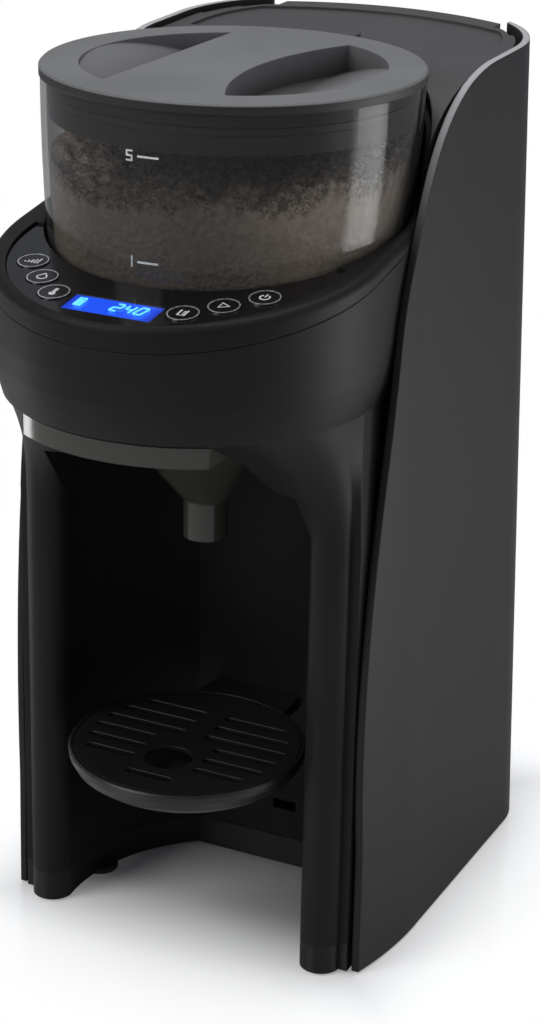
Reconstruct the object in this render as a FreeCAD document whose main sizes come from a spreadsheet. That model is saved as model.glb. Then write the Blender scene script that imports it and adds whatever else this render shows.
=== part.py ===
import FreeCAD, Part
import math
import os
import Sketcher

# A countertop baby formula maker, in millimetres.
# X is left to right, Y runs from the front (negative) to the back, Z is up.
# The origin is on the counter, under the middle of the machine.

os.makedirs("parts", exist_ok=True)
doc = FreeCAD.newDocument("FormulaMaker")
sheet = doc.addObject("Spreadsheet::Sheet", "Sizes")

# Driving dimensions
sizeValues = {
    # whole machine
    "bodyWidth": 175.2,
    "bodyDepth": 278.0,
    "shellHeight": 364.0,
    "footLift": 1.0,
    "wall": 3.0,
    "gap": 0.4,
    # hood, legs and bay
    "hoodRadius": 78.0,
    "hoodLip": 245.0,
    "lipRadius": 74.5,
    "flareHeight": 24.0,
    "seamFront": 280.5,
    "seamSlope": 0.2,
    "legSpan": 111.6,
    "legRadius": 8.7,
    "legFront": 73.3,
    "bandHeight": 14.0,
    "archHeight": 213.0,
    "coveHeight": 190.0,
    "mouthWidth": 82.0,
    "bayBack": 4.0,
    "bayCorner": 29.0,
    # side shells
    "shellTopWidth": 158.0,
    "shellFrontWidth": 160.8,
    "shellFoot": 64.0,
    "rearOpening": 112.0,
    "rearRadius": 120.0,
    # bezel, panel and buttons
    "panelFront": 290.3,
    "panelTilt": 8.5,
    "panelRadius": 67.3,
    "panelPlace": 69.5,
    "panelThick": 2.0,
    "rimFront": 290.8,
    "rimSlope": 0.157,
    "buttonRadius": 6.2,
    "displayLong": 37.0,
    "displayWide": 12.4,
    # powder side
    "containerTop": 362.0,
    "containerFloor": 282.0,
    "containerRadius": 75.0,
    "containerFoot": 68.4,
    "containerFront": 103.0,
    "containerWall": 2.4,
    "lidThick": 4.0,
    "lidSkirt": 16.0,
    "lidWellRadius": 60.0,
    "lidWellDepth": 12.0,
    "gripRight": 24.0,
    "gripLeft": 28.0,
    "wheelRadius": 60.0,
    "wheelThick": 7.0,
    "hubRadius": 5.0,
    "gearModule": 1.0,
    "gearThick": 6.0,
    "motorRadius": 16.5,
    "motorLength": 36.0,
    "funnelWall": 1.8,
    "spoutRadius": 9.25,
    "spoutEnd": 176.0,
    "spoutTop": 192.0,
    "coneRadius": 36.0,
    "spoutPlace": 48.0,
    # bottle stand
    "trayRadius": 49.6,
    "trayTop": 88.2,
    "trayDepth": 11.0,
    "trayPlace": 62.4,
    # water side
    "partitionPlace": 50.0,
    "shelfHeight": 62.0,
    "tankWall": 2.4,
    "tankHeight": 288.0,
    "lidPlate": 3.0,
    "heaterRadius": 16.0,
    "heaterHeight": 130.0,
    "pumpRadius": 19.0,
    "hoseRadius": 4.0,
}

for row, (name, number) in enumerate(sizeValues.items(), start=1):
    sheet.set("A%d" % row, name)
    sheet.set("B%d" % row, str(number))
    sheet.setAlias("B%d" % row, name)
doc.recompute()


# A length knows its value and the sheet expression that gives it
class Length:
    def __init__(self, value, text):
        self.value = value
        self.text = text

    def __float__(self):
        return self.value

    def __add__(self, other):
        other = asLength(other)
        return Length(self.value + other.value, "(%s + %s)" % (self.text, other.text))

    def __radd__(self, other):
        return asLength(other) + self

    def __sub__(self, other):
        other = asLength(other)
        return Length(self.value - other.value, "(%s - %s)" % (self.text, other.text))

    def __rsub__(self, other):
        return asLength(other) - self

    def __mul__(self, factor):
        factor = asLength(factor)
        return Length(self.value * factor.value, "(%s * %s)" % (self.text, factor.text))

    def __rmul__(self, factor):
        return self * factor

    def __truediv__(self, divisor):
        return Length(self.value / divisor, "(%s / %s)" % (self.text, repr(divisor)))

    def __neg__(self):
        return self * -1.0


def asLength(thing):
    if isinstance(thing, Length):
        return thing
    return Length(float(thing), repr(float(thing)))


class Dims:
    pass


dims = Dims()
for name in sizeValues:
    setattr(dims, name, Length(float(sheet.get(name)), "Sizes." + name))

# Places that follow from the driving dimensions
frontY = -dims.bodyDepth / 2
backY = dims.bodyDepth / 2
halfWidth = dims.bodyWidth / 2
hoodCentre = frontY + dims.hoodRadius
legInner = dims.legSpan / 2
legOuter = legInner + dims.legRadius * 2
legCentre = dims.legRadius - dims.legFront
mouthHalf = dims.mouthWidth / 2
containerCentre = dims.containerRadius - dims.containerFront
mixAxis = dims.containerFoot - dims.containerFront
lidTop = dims.containerTop + dims.lidThick
innerHalf = dims.shellTopWidth / 2 - dims.wall - dims.gap * 2
bandTop = dims.bandHeight
liningFloor = bandTop + dims.gap / 4
deckTop = dims.containerFloor - dims.gap / 2
deckThick = 3.5
gearFloor = deckTop - deckThick - dims.gearThick - 3.0
motorDeckTop = gearFloor - 2.0
spoutY = -dims.spoutPlace
funnelBack = -24.0
conePlace = -62.0
heaterX = 34.0
heaterY = 27.5
heaterLow = 40.0
hoseLow = 24.0
trayY = -dims.trayPlace


def vec(x, y, z):
    return FreeCAD.Vector(float(x), float(y), float(z))


# Sketch and body helpers
def originPlane(body, role):
    for feature in body.Origin.OriginFeatures:
        if feature.Role == role:
            return feature
    raise ValueError(role)


def newBody(label):
    body = doc.addObject("PartDesign::Body", label + "_body")
    body.Label = label
    return body


def newSketch(body, role, name, lift=0.0):
    sketch = body.newObject("Sketcher::SketchObject", body.Label + "_" + name)
    sketch.AttachmentSupport = [(originPlane(body, role), "")]
    sketch.MapMode = "FlatFace"
    sketch.AttachmentOffset = FreeCAD.Placement(vec(0, 0, lift), FreeCAD.Rotation())
    if isinstance(lift, Length):
        sketch.setExpression("AttachmentOffset.Base.z", lift.text)
    return sketch


# Ties one point of a sketch to its two lengths from the origin
def bindPoint(sketch, index, end, corner):
    for kind, part, axis in (("DistanceX", corner[0], -2), ("DistanceY", corner[1], -1)):
        part = asLength(part)
        if part.value == 0.0:
            sketch.addConstraint(Sketcher.Constraint("PointOnObject", index, end, axis))
        else:
            number = sketch.addConstraint(Sketcher.Constraint(kind, -1, 1, index, end, part.value))
            sketch.setExpression("Constraints[%d]" % number, part.text)


def drawOutline(sketch, corners):
    first = sketch.GeometryCount
    count = len(corners)
    for index in range(count):
        start = corners[index]
        end = corners[(index + 1) % count]
        sketch.addGeometry(Part.LineSegment(vec(start[0], start[1], 0), vec(end[0], end[1], 0)), False)
    for index in range(count):
        following = first + (index + 1) % count
        sketch.addConstraint(Sketcher.Constraint("Coincident", first + index, 2, following, 1))
    for index in range(count):
        bindPoint(sketch, first + index, 1, corners[index])


def drawCircle(sketch, radius, x=0.0, y=0.0):
    radius = asLength(radius)
    index = sketch.addGeometry(Part.Circle(vec(x, y, 0), vec(0, 0, 1), radius.value), False)
    bindPoint(sketch, index, 3, (x, y))
    number = sketch.addConstraint(Sketcher.Constraint("Radius", index, radius.value))
    sketch.setExpression("Constraints[%d]" % number, radius.text)


# Turns a closed outline of (radius, height) corners about the body's Z axis
def turn(body, corners, name="turned", cut=False):
    sketch = newSketch(body, "XZ_Plane", name + "_outline")
    drawOutline(sketch, corners)
    kind = "PartDesign::Groove" if cut else "PartDesign::Revolution"
    feature = body.newObject(kind, body.Label + "_" + name)
    feature.Profile = sketch
    feature.ReferenceAxis = (sketch, ["V_Axis"])
    feature.Angle = 360
    return feature


# Pads an outline or circles up from a height, or pockets them through the body
def raisePad(body, name, thick, lift=0.0, corners=None, circles=(), cut=False):
    sketch = newSketch(body, "XY_Plane", name + "_outline", lift)
    if corners:
        drawOutline(sketch, corners)
    for circle in circles:
        drawCircle(sketch, *circle)
    thick = asLength(thick)
    kind = "PartDesign::Pocket" if cut else "PartDesign::Pad"
    feature = body.newObject(kind, body.Label + "_" + name)
    feature.Profile = sketch
    feature.Length = thick.value
    feature.setExpression("Length", thick.text)
    if cut:
        feature.Reversed = True
    return feature


def polar(body, feature, count, name="around"):
    pattern = body.newObject("PartDesign::PolarPattern", body.Label + "_" + name)
    pattern.Originals = [feature]
    pattern.Axis = (originPlane(body, "Z_Axis"), [""])
    pattern.Angle = 360
    pattern.Occurrences = count
    body.Tip = pattern
    return pattern


def place(thing, x, y, z, rotation=None):
    thing.Placement = FreeCAD.Placement(vec(x, y, z), rotation or FreeCAD.Rotation())
    for axis, part in (("x", x), ("y", y), ("z", z)):
        if isinstance(part, Length):
            thing.setExpression("Placement.Base." + axis, part.text)
    return thing


# Solid helpers for the formed covers
def block(x0, x1, y0, y1, z0, z1):
    return Part.makeBox(float(x1) - float(x0), float(y1) - float(y0), float(z1) - float(z0), vec(x0, y0, z0))


def rod(radius, z0, z1, x=0.0, y=0.0):
    return Part.makeCylinder(float(radius), float(z1) - float(z0), vec(x, y, z0))


def line(a, b):
    return Part.LineSegment(a, b).toShape()


def arc(a, b, c):
    return Part.Arc(a, b, c).toShape()


def prism(edges, height):
    face = Part.Face(Part.Wire(edges))
    return face.extrude(vec(0, 0, height))


# A solid given by its outline in the YZ plane, drawn between two X places
def sideProfile(edges, x0, x1):
    face = Part.Face(Part.Wire(edges))
    solid = face.extrude(vec(float(x1) - float(x0), 0, 0))
    solid.translate(vec(x0, 0, 0))
    return solid


def mirrored(shape):
    return shape.mirror(vec(0, 0, 0), vec(1, 0, 0))


def joined(shapes):
    return shapes[0].multiFuse(shapes[1:]).removeSplitter()


def feature(label, shape, x=0.0, y=0.0, z=0.0):
    thing = doc.addObject("Part::Feature", label + "_form")
    thing.Label = label
    thing.Shape = shape
    return place(thing, x, y, z)


# Everything below a plane that rises towards the back
def belowPlane(heightAtFront, slope):
    reach = 200.0
    low = float(heightAtFront) - reach * float(slope)
    high = float(heightAtFront) + 2 * reach * float(slope)
    a = vec(0, float(frontY) - reach, -50)
    b = vec(0, float(frontY) + 2 * reach, -50)
    c = vec(0, float(frontY) + 2 * reach, high)
    d = vec(0, float(frontY) - reach, low)
    return sideProfile([line(a, b), line(b, c), line(c, d), line(d, a)], -reach, reach)


# Hood outline in plan: half round at the front, straight sides to the back
def hoodPrism(radius, sideHalf, back, z0, z1):
    radius = float(radius)
    sideHalf = float(sideHalf)
    y = float(hoodCentre)
    front = arc(vec(radius, y, z0), vec(0, y - radius, z0), vec(-radius, y, z0))
    a = vec(-radius, y, z0)
    b = vec(-sideHalf, y + (radius - sideHalf) * 0.6 + 0.01, z0)
    c = vec(-sideHalf, back, z0)
    d = vec(sideHalf, back, z0)
    e = vec(sideHalf, y + (radius - sideHalf) * 0.6 + 0.01, z0)
    f = vec(radius, y, z0)
    edges = [front, line(a, b), line(b, c), line(c, d), line(d, e), line(e, f)]
    return prism(edges, float(z1) - float(z0))


# The container's own form: its front is upright and its back draws in as it goes down
def containerRadiusAt(z, grow):
    share = (float(dims.containerTop) - z) / (float(dims.containerTop) - float(dims.containerFloor))
    taper = float(dims.containerRadius) - float(dims.containerFoot)
    return float(dims.containerRadius) - taper * share * abs(share) + grow


def containerForm(grow, z0, z1):
    rings = []
    steps = 7
    low = float(dims.containerFloor) - 15.0
    high = float(dims.containerTop) + 15.0
    for step in range(steps + 1):
        z = low + (high - low) * step / steps
        radius = containerRadiusAt(z, 0.0)
        centre = vec(0, radius - float(dims.containerFront), z)
        rings.append(Part.Wire([Part.Circle(centre, vec(0, 0, 1), radius + grow).toShape()]))
    return Part.makeLoft(rings, True, True).common(block(-200, 200, -200, 200, z0, z1))


# Side view of the shells: the front edge leans back, sweeps round the container and ends flat
def shellEdge(offset):
    foot = -float(dims.shellFoot)
    top = float(dims.shellHeight)
    points = [
        (foot + 0.5, top * 0.15),
        (foot + 9.4, top * 0.571),
        (foot + 17.1, top * 0.678),
        (foot + 29.0, top * 0.806),
        (foot + 41.2, top * 0.87),
        (foot + 53.0, top * 0.925),
        (foot + 67.0, top * 0.956),
        (foot + 89.0, top * 0.983),
        (foot + 112.0, top * 0.993),
    ]
    points = [vec(0, y, z) for y, z in points]
    curve = Part.BSplineCurve()
    curve.interpolate(points)
    samples = [curve.value(curve.FirstParameter + (curve.LastParameter - curve.FirstParameter) * k / 14)
               for k in range(15)]
    slopes = [curve.tangent(curve.FirstParameter + (curve.LastParameter - curve.FirstParameter) * k / 14)[0]
              for k in range(15)]
    moved = [point + vec(0, slope.z, -slope.y) * float(offset) for point, slope in zip(samples, slopes)]
    edge = Part.BSplineCurve()
    edge.interpolate(moved)
    first = vec(0, foot + float(offset), 0)
    last = vec(0, float(backY) + 20, top - float(offset))
    return [line(first, moved[0]), edge.toShape(), line(moved[-1], last)], first, last


# Everything behind and below that edge
def behindEdge(offset, half):
    edges, first, last = shellEdge(offset)
    low = vec(0, last.y, -10)
    foot = vec(0, first.y, -10)
    return sideProfile([line(foot, first)] + edges + [line(last, low), line(low, foot)], -half, half)


# Plan outline of the right shell at a height; inset moves it inwards
def shellCorners(z, inset):
    share = float(z) / float(dims.shellHeight)
    inset = float(inset)
    flank = float(halfWidth) + (float(dims.shellTopWidth - dims.bodyWidth) / 2) * share - inset
    front = float(dims.shellFrontWidth) / 2 - 1.9 * share - inset
    crease = -12.0 - 9.0 * min(share / 0.7, 1.0) + 46.0 * max(share - 0.7, 0.0) / 0.3
    rearHalf = float(dims.rearOpening) / 2
    lean = 1.5 * share
    rear = float(backY) - 0.5 - lean - inset
    endY = rear - float(dims.rearRadius) + math.sqrt(float(dims.rearRadius) ** 2 - rearHalf ** 2)
    start = vec(flank, 88.0 - 12.0 * share, z)
    end = vec(rearHalf, endY, z)
    return [
        vec(front, -float(dims.shellFoot) - 4.0, z),
        vec(flank, crease, z),
        start,
        bendMiddle(start, end),
        end,
    ]


# Middle of the arc that leaves one point along +Y and ends at another
def bendMiddle(start, end):
    across = start.x - end.x
    along = end.y - start.y
    radius = (across ** 2 + along ** 2) / (2 * across)
    half = math.asin(min(1.0, along / radius)) / 2
    if along > radius or across > radius:
        half = (math.pi - math.asin(min(1.0, along / radius))) / 2
    return vec(start.x - radius * (1 - math.cos(half)), start.y + radius * math.sin(half), start.z)


def shellWire(z, outer, inner):
    a, b, c, m, e = shellCorners(z, outer)
    a2, b2, c2, m2, e2 = shellCorners(z, inner)
    bow = vec(a.x * 0.35 + b.x * 0.65 + 1.2, a.y * 0.5 + b.y * 0.5, z)
    bow2 = vec(a2.x * 0.35 + b2.x * 0.65 + 1.2, a2.y * 0.5 + b2.y * 0.5, z)
    return Part.Wire([arc(a, bow, b), line(b, c), arc(c, m, e), line(e, e2), arc(e2, m2, c2),
                      line(c2, b2), arc(b2, bow2, a2), line(a2, a)])


def shellBand(outer, inner, z0, z1):
    levels = [0.0, 0.35, 0.7, 0.85, 1.0]
    wires = [shellWire(float(z0) + (float(z1) - float(z0)) * level, outer, inner) for level in levels]
    return Part.makeLoft(wires, True, True)


# Plan region between the shells at the top, where they are closest
def betweenShells(inset, z0, z1, front):
    a, b, c, m, e = shellCorners(dims.shellHeight, float(dims.wall) + float(inset))
    z = float(z0)
    half = min(b.x, float(innerHalf) + 0.4 - float(inset))
    bend = vec(half, max(c.y, float(front) + 2.0), z)
    end = vec(e.x, e.y, z)
    right = [vec(half, front, z), bend, bendMiddle(bend, end), end]
    left = [vec(-p.x, p.y, z) for p in right]
    tip = vec(0, shellRear(inset), z)
    edges = [line(right[0], right[1]), arc(right[1], right[2], right[3]), arc(right[3], tip, left[3]),
             arc(left[3], left[2], left[1]), line(left[1], left[0]), line(left[0], right[0])]
    return prism(edges, float(z1) - z)


def shellRear(inset):
    return float(backY) - 2.0 - float(dims.wall) - float(inset)


shellForm = shellBand(0.0, dims.wall, 0.0, dims.shellHeight)
shellRoom = shellBand(-4.0, dims.wall + dims.gap, 0.0, dims.shellHeight)
shellRoom = shellRoom.common(behindEdge(-2.0, 200))
keepOut = shellRoom.fuse(mirrored(shellRoom))


# Side shells
def sideShell(label, flip):
    shape = shellForm.common(behindEdge(0.0, 200))
    shape = shape.cut(block(-200, 200, -200, 200, -10, dims.footLift))
    if flip:
        shape = mirrored(shape)
    feature(label, shape)


sideShell("right_side_shell", False)
sideShell("left_side_shell", True)


# Bay behind the bottle, in plan
def bayPlan(grow, z0, z1):
    grow = float(grow)
    leg = float(legInner) + grow
    corner = float(dims.bayCorner) + grow * 0.6
    back = float(dims.bayBack) + grow
    middle = vec(leg * 0.87, float(legCentre) * 0.32 + grow * 0.5, z0)
    points = [vec(leg, frontY, z0), vec(leg, legCentre, z0), vec(corner, back, z0)]
    left = [vec(-p.x, p.y, z0) for p in points]
    edges = [
        line(points[0], points[1]),
        arc(points[1], middle, points[2]),
        line(points[2], left[2]),
        arc(left[2], vec(-middle.x, middle.y, z0), left[1]),
        line(left[1], left[0]),
        line(left[0], points[0]),
    ]
    return prism(edges, float(z1) - float(z0))


# Plan of one leg at a height, from an inner edge round the front to the outer flange
def legWire(z, inner, start, middle, end, flange):
    back = float(legCentre) + 52.0
    a = vec(inner, back, z)
    b = vec(start[0], start[1], z)
    m = vec(middle[0], middle[1], z)
    c = vec(end[0], end[1], z)
    d = vec(flange[0], flange[1], z)
    e = vec(flange[0], back, z)
    return Part.Wire([line(a, b), arc(b, m, c), line(c, d), line(d, e), line(e, a)])


def hoodPoint(x):
    return (x, float(hoodCentre) - math.sqrt(float(dims.lipRadius) ** 2 - x ** 2))


# Hood skin: narrow at the lip, flaring to its full radius above
def flaredHood(grow, back, z0):
    wires = []
    lip = float(dims.hoodLip)
    flare = float(dims.flareHeight)
    for rise in (0.0, 0.15, 0.35, 0.6, 1.0, 3.5):
        share = 1 - (1 - min(rise, 1.0)) ** 2
        radius = float(dims.lipRadius) + (float(dims.hoodRadius) - float(dims.lipRadius)) * share + grow
        z = lip + flare * rise if rise else z0
        y = float(hoodCentre)
        a = vec(radius, y, z)
        b = vec(-radius, y, z)
        c = vec(-radius, back, z)
        d = vec(radius, back, z)
        wires.append(Part.Wire([arc(a, vec(0, y - radius, z), b), line(b, c), line(c, d), line(d, a)]))
    return Part.makeLoft(wires, True, True)


def legSections():
    inner = float(legInner)
    outer = float(legOuter)
    y = float(legCentre)
    side = float(dims.hoodRadius)
    brow = float(dims.lipRadius)
    mouth = float(mouthHalf)
    cove = float(dims.coveHeight)
    lip = float(dims.hoodLip)
    start = ((inner, y), ((inner + outer) / 2, -float(dims.legFront)), (outer, y - 0.8), (side - 1.0, y - 1.0))
    end = (hoodPoint(mouth), hoodPoint(60.0), hoodPoint(brow - 1.4), (brow, float(hoodCentre)))
    sections = []
    steps = 6
    for step in range(steps + 1):
        rise = step / steps
        forward = rise ** 1.8
        inward = min(1.0, rise / 0.6)
        inward = inward * inward * (3 - 2 * inward)
        corners = []
        for low, high, across in zip(start, end, (inward, rise, rise, rise)):
            x = low[0] + (high[0] - low[0]) * across
            corners.append((x, low[1] + (high[1] - low[1]) * forward))
        sections.append((cove + (lip - cove) * rise, corners[0][0]) + tuple(corners))
    return sections


def legForm():
    wires = [legWire(*section) for section in legSections()]
    cove = Part.makeLoft(wires, True, False)
    foot = legWire(*((float(liningFloor),) + legSections()[0][1:]))
    column = Part.Face(foot).extrude(vec(0, 0, float(dims.coveHeight) - float(liningFloor)))
    return column.fuse(cove)


# Hood with its legs and the lining of the bay
def frontHousing():
    wall = float(dims.wall)
    upper = flaredHood(0.0, -10.0, float(dims.hoodLip))
    hollow = flaredHood(-wall, 20.0, float(dims.hoodLip) - 1)
    hood = upper.cut(hollow).common(belowPlane(dims.seamFront, dims.seamSlope))
    right = legForm()
    bayOuter = bayPlan(wall, liningFloor, float(dims.archHeight) + wall)
    bayInner = bayPlan(0.0, 0.0, dims.archHeight)
    lining = bayOuter.cut(bayInner).common(block(-innerHalf, innerHalf, legCentre, 60, 0, 400))
    mouth = block(-mouthHalf, mouthHalf, -200, -21, float(dims.archHeight) - 5, float(dims.hoodLip) + 0.01)
    shape = joined([hood, right, mirrored(right), lining])
    shape = shape.cut(mouth).cut(bayInner).cut(keepOut)
    shape = shape.cut(containerForm(0.5, float(dims.containerFloor) - 1, float(dims.containerTop)))
    shape = shape.cut(rod(4.6, 200, 230, 0, -15.0))
    for level in (float(dims.trayTop) - 10.2, float(dims.trayTop) - 60.2):
        for x in (-14.0, 14.0):
            shape = shape.cut(block(x - 5.4, x + 5.4, -5, 20, level, level + 4.4))
    return shape


feature("front_housing", frontHousing())


# Bottom band under the legs and the bay, with the pan that closes the machine below
def baseMoulding():
    z0 = float(dims.footLift)
    wall = float(dims.wall)
    section = legSections()[0][1:]
    leg = Part.Face(legWire(*((z0,) + section))).extrude(vec(0, 0, float(bandTop) - z0))
    band = bayPlan(wall, z0, bandTop).cut(bayPlan(0.0, 0.0, 30)).common(
        block(-innerHalf, innerHalf, legCentre, 60, 0, 400))
    pan = betweenShells(dims.gap, z0, z0 + wall, float(legCentre) + 20).cut(bayPlan(0.0, 0.0, 30))
    shape = joined([leg, mirrored(leg), band, pan]).cut(bayPlan(0.0, -1.0, 30)).cut(keepOut)
    for x in (-58.0, 58.0):
        for y in (-35.0, 100.0):
            shape = shape.cut(rod(8.3, 0, z0 + 1.6, x, y))
    for x in (-62.0, 62.0):
        for y in (10.0, 70.0):
            shape = shape.cut(rod(1.6, 0, 10, x, y)).cut(rod(3.3, 0, z0 + 1.5, x, y))
    return shape


feature("base_moulding", baseMoulding())


# Inner frame: partition, powder deck, motor deck and tank shelf
def chassisFrame():
    z0 = float(dims.footLift) + float(dims.wall)
    thick = 3.0
    half = float(innerHalf) - 1.0
    y0 = float(dims.partitionPlace)
    top = float(dims.containerTop) - 12.0
    partition = block(-half, half, y0, y0 + thick, z0, top)
    deckShape = hoodPrism(dims.hoodRadius - dims.wall - dims.gap, half - 4.0, y0 + 0.5,
                          float(deckTop) - deckThick, deckTop)
    deckShape = deckShape.common(belowPlane(dims.seamFront - 1.0, dims.seamSlope).fuse(
        block(-200, 200, -105, 200, 0, 400)))
    motorDeck = block(-half + 4, half - 4, float(legCentre) + 6, y0 + 0.5, float(motorDeckTop) - thick, motorDeckTop)
    shelf = betweenShells(3.6, float(dims.shelfHeight) - thick, dims.shelfHeight, y0)
    shape = joined([partition, deckShape, motorDeck, shelf])
    for x in (-62.0, 62.0):
        for y in (10.0, 70.0):
            roof = float(motorDeckTop) - thick if y < y0 else float(dims.shelfHeight) - thick
            shape = shape.fuse(rod(4.0, z0, roof + 0.5, x, y)).cut(rod(1.55, 0, z0 + 9.0, x, y))
    for x in (-50.0, 50.0):
        shape = shape.fuse(rod(4.0, float(motorDeckTop) - 0.5, float(deckTop) - deckThick + 0.5, x, -34.0))
    shape = shape.cut(rod(dims.hubRadius + 0.08, 200, 400, 0, mixAxis))
    shape = shape.cut(rod(11.0, 270, 400, 0, outletY()))
    shape = shape.cut(rod(4.5, 200, 275, 0, motorY()))
    shape = shape.cut(rod(10.4, 40, 80, 0, valveY()))
    hosePass = Part.makeCylinder(float(dims.hoseRadius) + 0.3, 30, vec(heaterX, 40, hoseLow), vec(0, 1, 0))
    return shape.cut(hosePass).cut(keepOut)


def outletY():
    return float(mixAxis) - 42.0


def motorY():
    return float(mixAxis) + float(gearSpan(driveTeeth, idlerTeeth)) + float(gearSpan(idlerTeeth, pinionTeeth))


def valveY():
    return float(dims.partitionPlace) + 44.0


driveTeeth = 48
idlerTeeth = 28
pinionTeeth = 14


def gearSpan(first, second):
    return dims.gearModule * ((first + second) / 2.0) + 0.25


feature("chassis_frame", chassisFrame())


# Wall of the well that the powder container stands in, behind it
def containerWell():
    z0 = float(deckTop) + 0.0
    z1 = float(dims.shellHeight) - 12.0
    outer = containerForm(4.2, z0, z1)
    inner = containerForm(1.4, z0 - 1, z1 + 1)
    shape = outer.cut(inner).common(block(-innerHalf, innerHalf, -6, float(dims.partitionPlace) - 0.3, 0, 400))
    shape = shape.common(behindEdge(9.0, 200))
    collarRoom = block(-200, 200, -200, 6.4, 0, 400).common(belowPlane(dims.rimFront + 0.6, dims.rimSlope))
    return shape.cut(collarRoom).cut(keepOut)


feature("container_well", containerWell())


panelCentre = -float(dims.panelPlace)
panelEnd = -66.0


# Collar round the container and the controls
def topBezel():
    back = 6.0
    outer = hoodPrism(dims.hoodRadius, dims.hoodRadius, back, 260, 340)
    outer = outer.common(belowPlane(dims.rimFront, dims.rimSlope))
    brim = [edge for edge in outer.Edges if edge.BoundBox.ZMin > float(dims.rimFront) - 1
            and edge.BoundBox.YMin < back - 1 and edge.Length > 20]
    outer = outer.makeFillet(4.0, brim)
    outer = outer.cut(belowPlane(dims.seamFront + 0.3, dims.seamSlope))
    shape = outer.cut(containerForm(0.8, 270, 345))
    tilt = math.tan(math.radians(float(dims.panelTilt)))
    recess = rod(float(dims.panelRadius) + 0.25, 260, 340, 0, panelCentre).common(
        block(-200, 200, -200, panelEnd + 0.3, 0, 400))
    recess = recess.cut(belowPlane(dims.panelFront - dims.panelThick - 0.2, tilt))
    room = rod(float(dims.panelRadius) - 2.5, 260, 340, 0, panelCentre).common(
        block(-200, 200, -200, panelEnd - 2.5, 0, 400))
    return shape.cut(recess).cut(room).cut(keepOut)


feature("top_bezel", topBezel())


# Button and display places on the panel, right side positive
buttonPlaces = {
    "strength_button": (-49.3, -97.9),
    "water_only_button": (-38.4, -109.5),
    "temperature_button": (-27.1, -120.1),
    "unit_button": (27.1, -120.1),
    "start_button": (38.4, -109.5),
    "power_button": (49.3, -97.9),
}
displayY = -124.2
tiltAngle = float(dims.panelTilt)
tiltSlope = math.tan(math.radians(tiltAngle))
tiltRotation = FreeCAD.Rotation(vec(1, 0, 0), tiltAngle)
tiltNormal = tiltRotation.multVec(vec(0, 0, 1))


def panelHeight(y):
    return float(dims.panelFront) + tiltSlope * (float(y) - float(frontY))


def tiltedRod(radius, low, high, x, y):
    base = vec(x, y, panelHeight(y)) + tiltNormal * low
    return Part.makeCylinder(float(radius), high - low, base, tiltNormal)


def tiltedBlock(halfX, halfY, low, high, x, y):
    shape = Part.makeBox(2 * float(halfX), 2 * float(halfY), high - low, vec(-halfX, -halfY, low))
    shape.Placement = FreeCAD.Placement(vec(x, y, panelHeight(y)), tiltRotation)
    return shape


# A layer of the crescent between the container and the collar, parallel to the panel
def crescentLayer(low, high, outerRadius, clearance, end):
    disc = rod(outerRadius, 250, 340, 0, panelCentre).common(block(-200, 200, -200, end, 0, 400))
    layer = disc.common(belowPlane(panelHeight(frontY) + high, tiltSlope))
    layer = layer.cut(belowPlane(panelHeight(frontY) + low, tiltSlope))
    return layer.cut(containerForm(clearance, 270, 345))


def controlPanel():
    shape = crescentLayer(-float(dims.panelThick), 0.0, dims.panelRadius, 1.2, panelEnd)
    for x, y in buttonPlaces.values():
        shape = shape.cut(tiltedRod(dims.buttonRadius + 0.3, -5.0, 5.0, x, y))
    shape = shape.cut(tiltedBlock(dims.displayLong / 2 + 0.2, dims.displayWide / 2 + 0.2, -5.0, 5.0, 0, displayY))
    return shape


def controlBoard():
    shape = crescentLayer(-8.6, -7.0, float(dims.panelRadius) - 3.2, 3.5, panelEnd - 3.2)
    for x, y in buttonPlaces.values():
        shape = shape.fuse(tiltedRod(3.0, -7.1, -5.9, x, y))
    for x in (-56.0, -16.0, 16.0, 56.0):
        y = -103.0 - 22.0 * (1 - abs(x) / 56.0) if abs(x) > 20 else -112.0
        if abs(x) > 20:
            y = -88.0
        shape = shape.fuse(tiltedRod(1.6, -7.1, -float(dims.panelThick) - 0.05, x, y))
    return shape


feature("control_panel", controlPanel())
feature("control_board", controlBoard())
feature("display_window", tiltedBlock(dims.displayLong / 2, dims.displayWide / 2, -4.2, -0.2, 0, displayY).fuse(
    tiltedBlock(dims.displayLong / 2 - 4, dims.displayWide / 2 - 2, -6.9, -4.1, 0, displayY)))


# Push buttons, each a cap with a stem and a collar under the panel
def pushButton(label, x, y):
    body = newBody(label)
    radius = dims.buttonRadius
    under = -dims.panelThick - 0.15
    turn(body, [(0, 0.5), (radius - 0.5, 0.5), (radius, 0), (radius, under), (radius + 1.0, under),
                (radius + 1.0, under - 0.8), (2.2, under - 0.8), (2.2, -4.9), (0, -4.9)])
    body.Placement = FreeCAD.Placement(vec(x, y, panelHeight(y)), tiltRotation)


for label, (x, y) in buttonPlaces.items():
    pushButton(label, x, y)


# Powder container: clear cup with an outlet and a drive opening in its floor
def powderContainer():
    floor = float(dims.containerFloor)
    top = float(dims.containerTop)
    wall = float(dims.containerWall)
    shape = containerForm(0.0, floor, top).cut(containerForm(-wall, floor + wall, top + 1.0))
    shape = shape.cut(rod(dims.hubRadius + 0.8, floor - 1, floor + 5, 0, mixAxis))
    shape = shape.cut(rod(9.0, floor - 1, floor + 5, 0, outletY()))
    return shape


feature("powder_container", powderContainer())


# Everything above a broken line in the XZ plane, as wide as the lid
def slopedBlock(points, y):
    points = [vec(x, y - 70, z) for x, z in points]
    over = [vec(points[-1].x, y - 70, 400), vec(points[0].x, y - 70, 400)]
    ring = points + over
    edges = [line(ring[k], ring[(k + 1) % len(ring)]) for k in range(len(ring))]
    return Part.Face(Part.Wire(edges)).extrude(vec(0, 140, 0))


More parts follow.
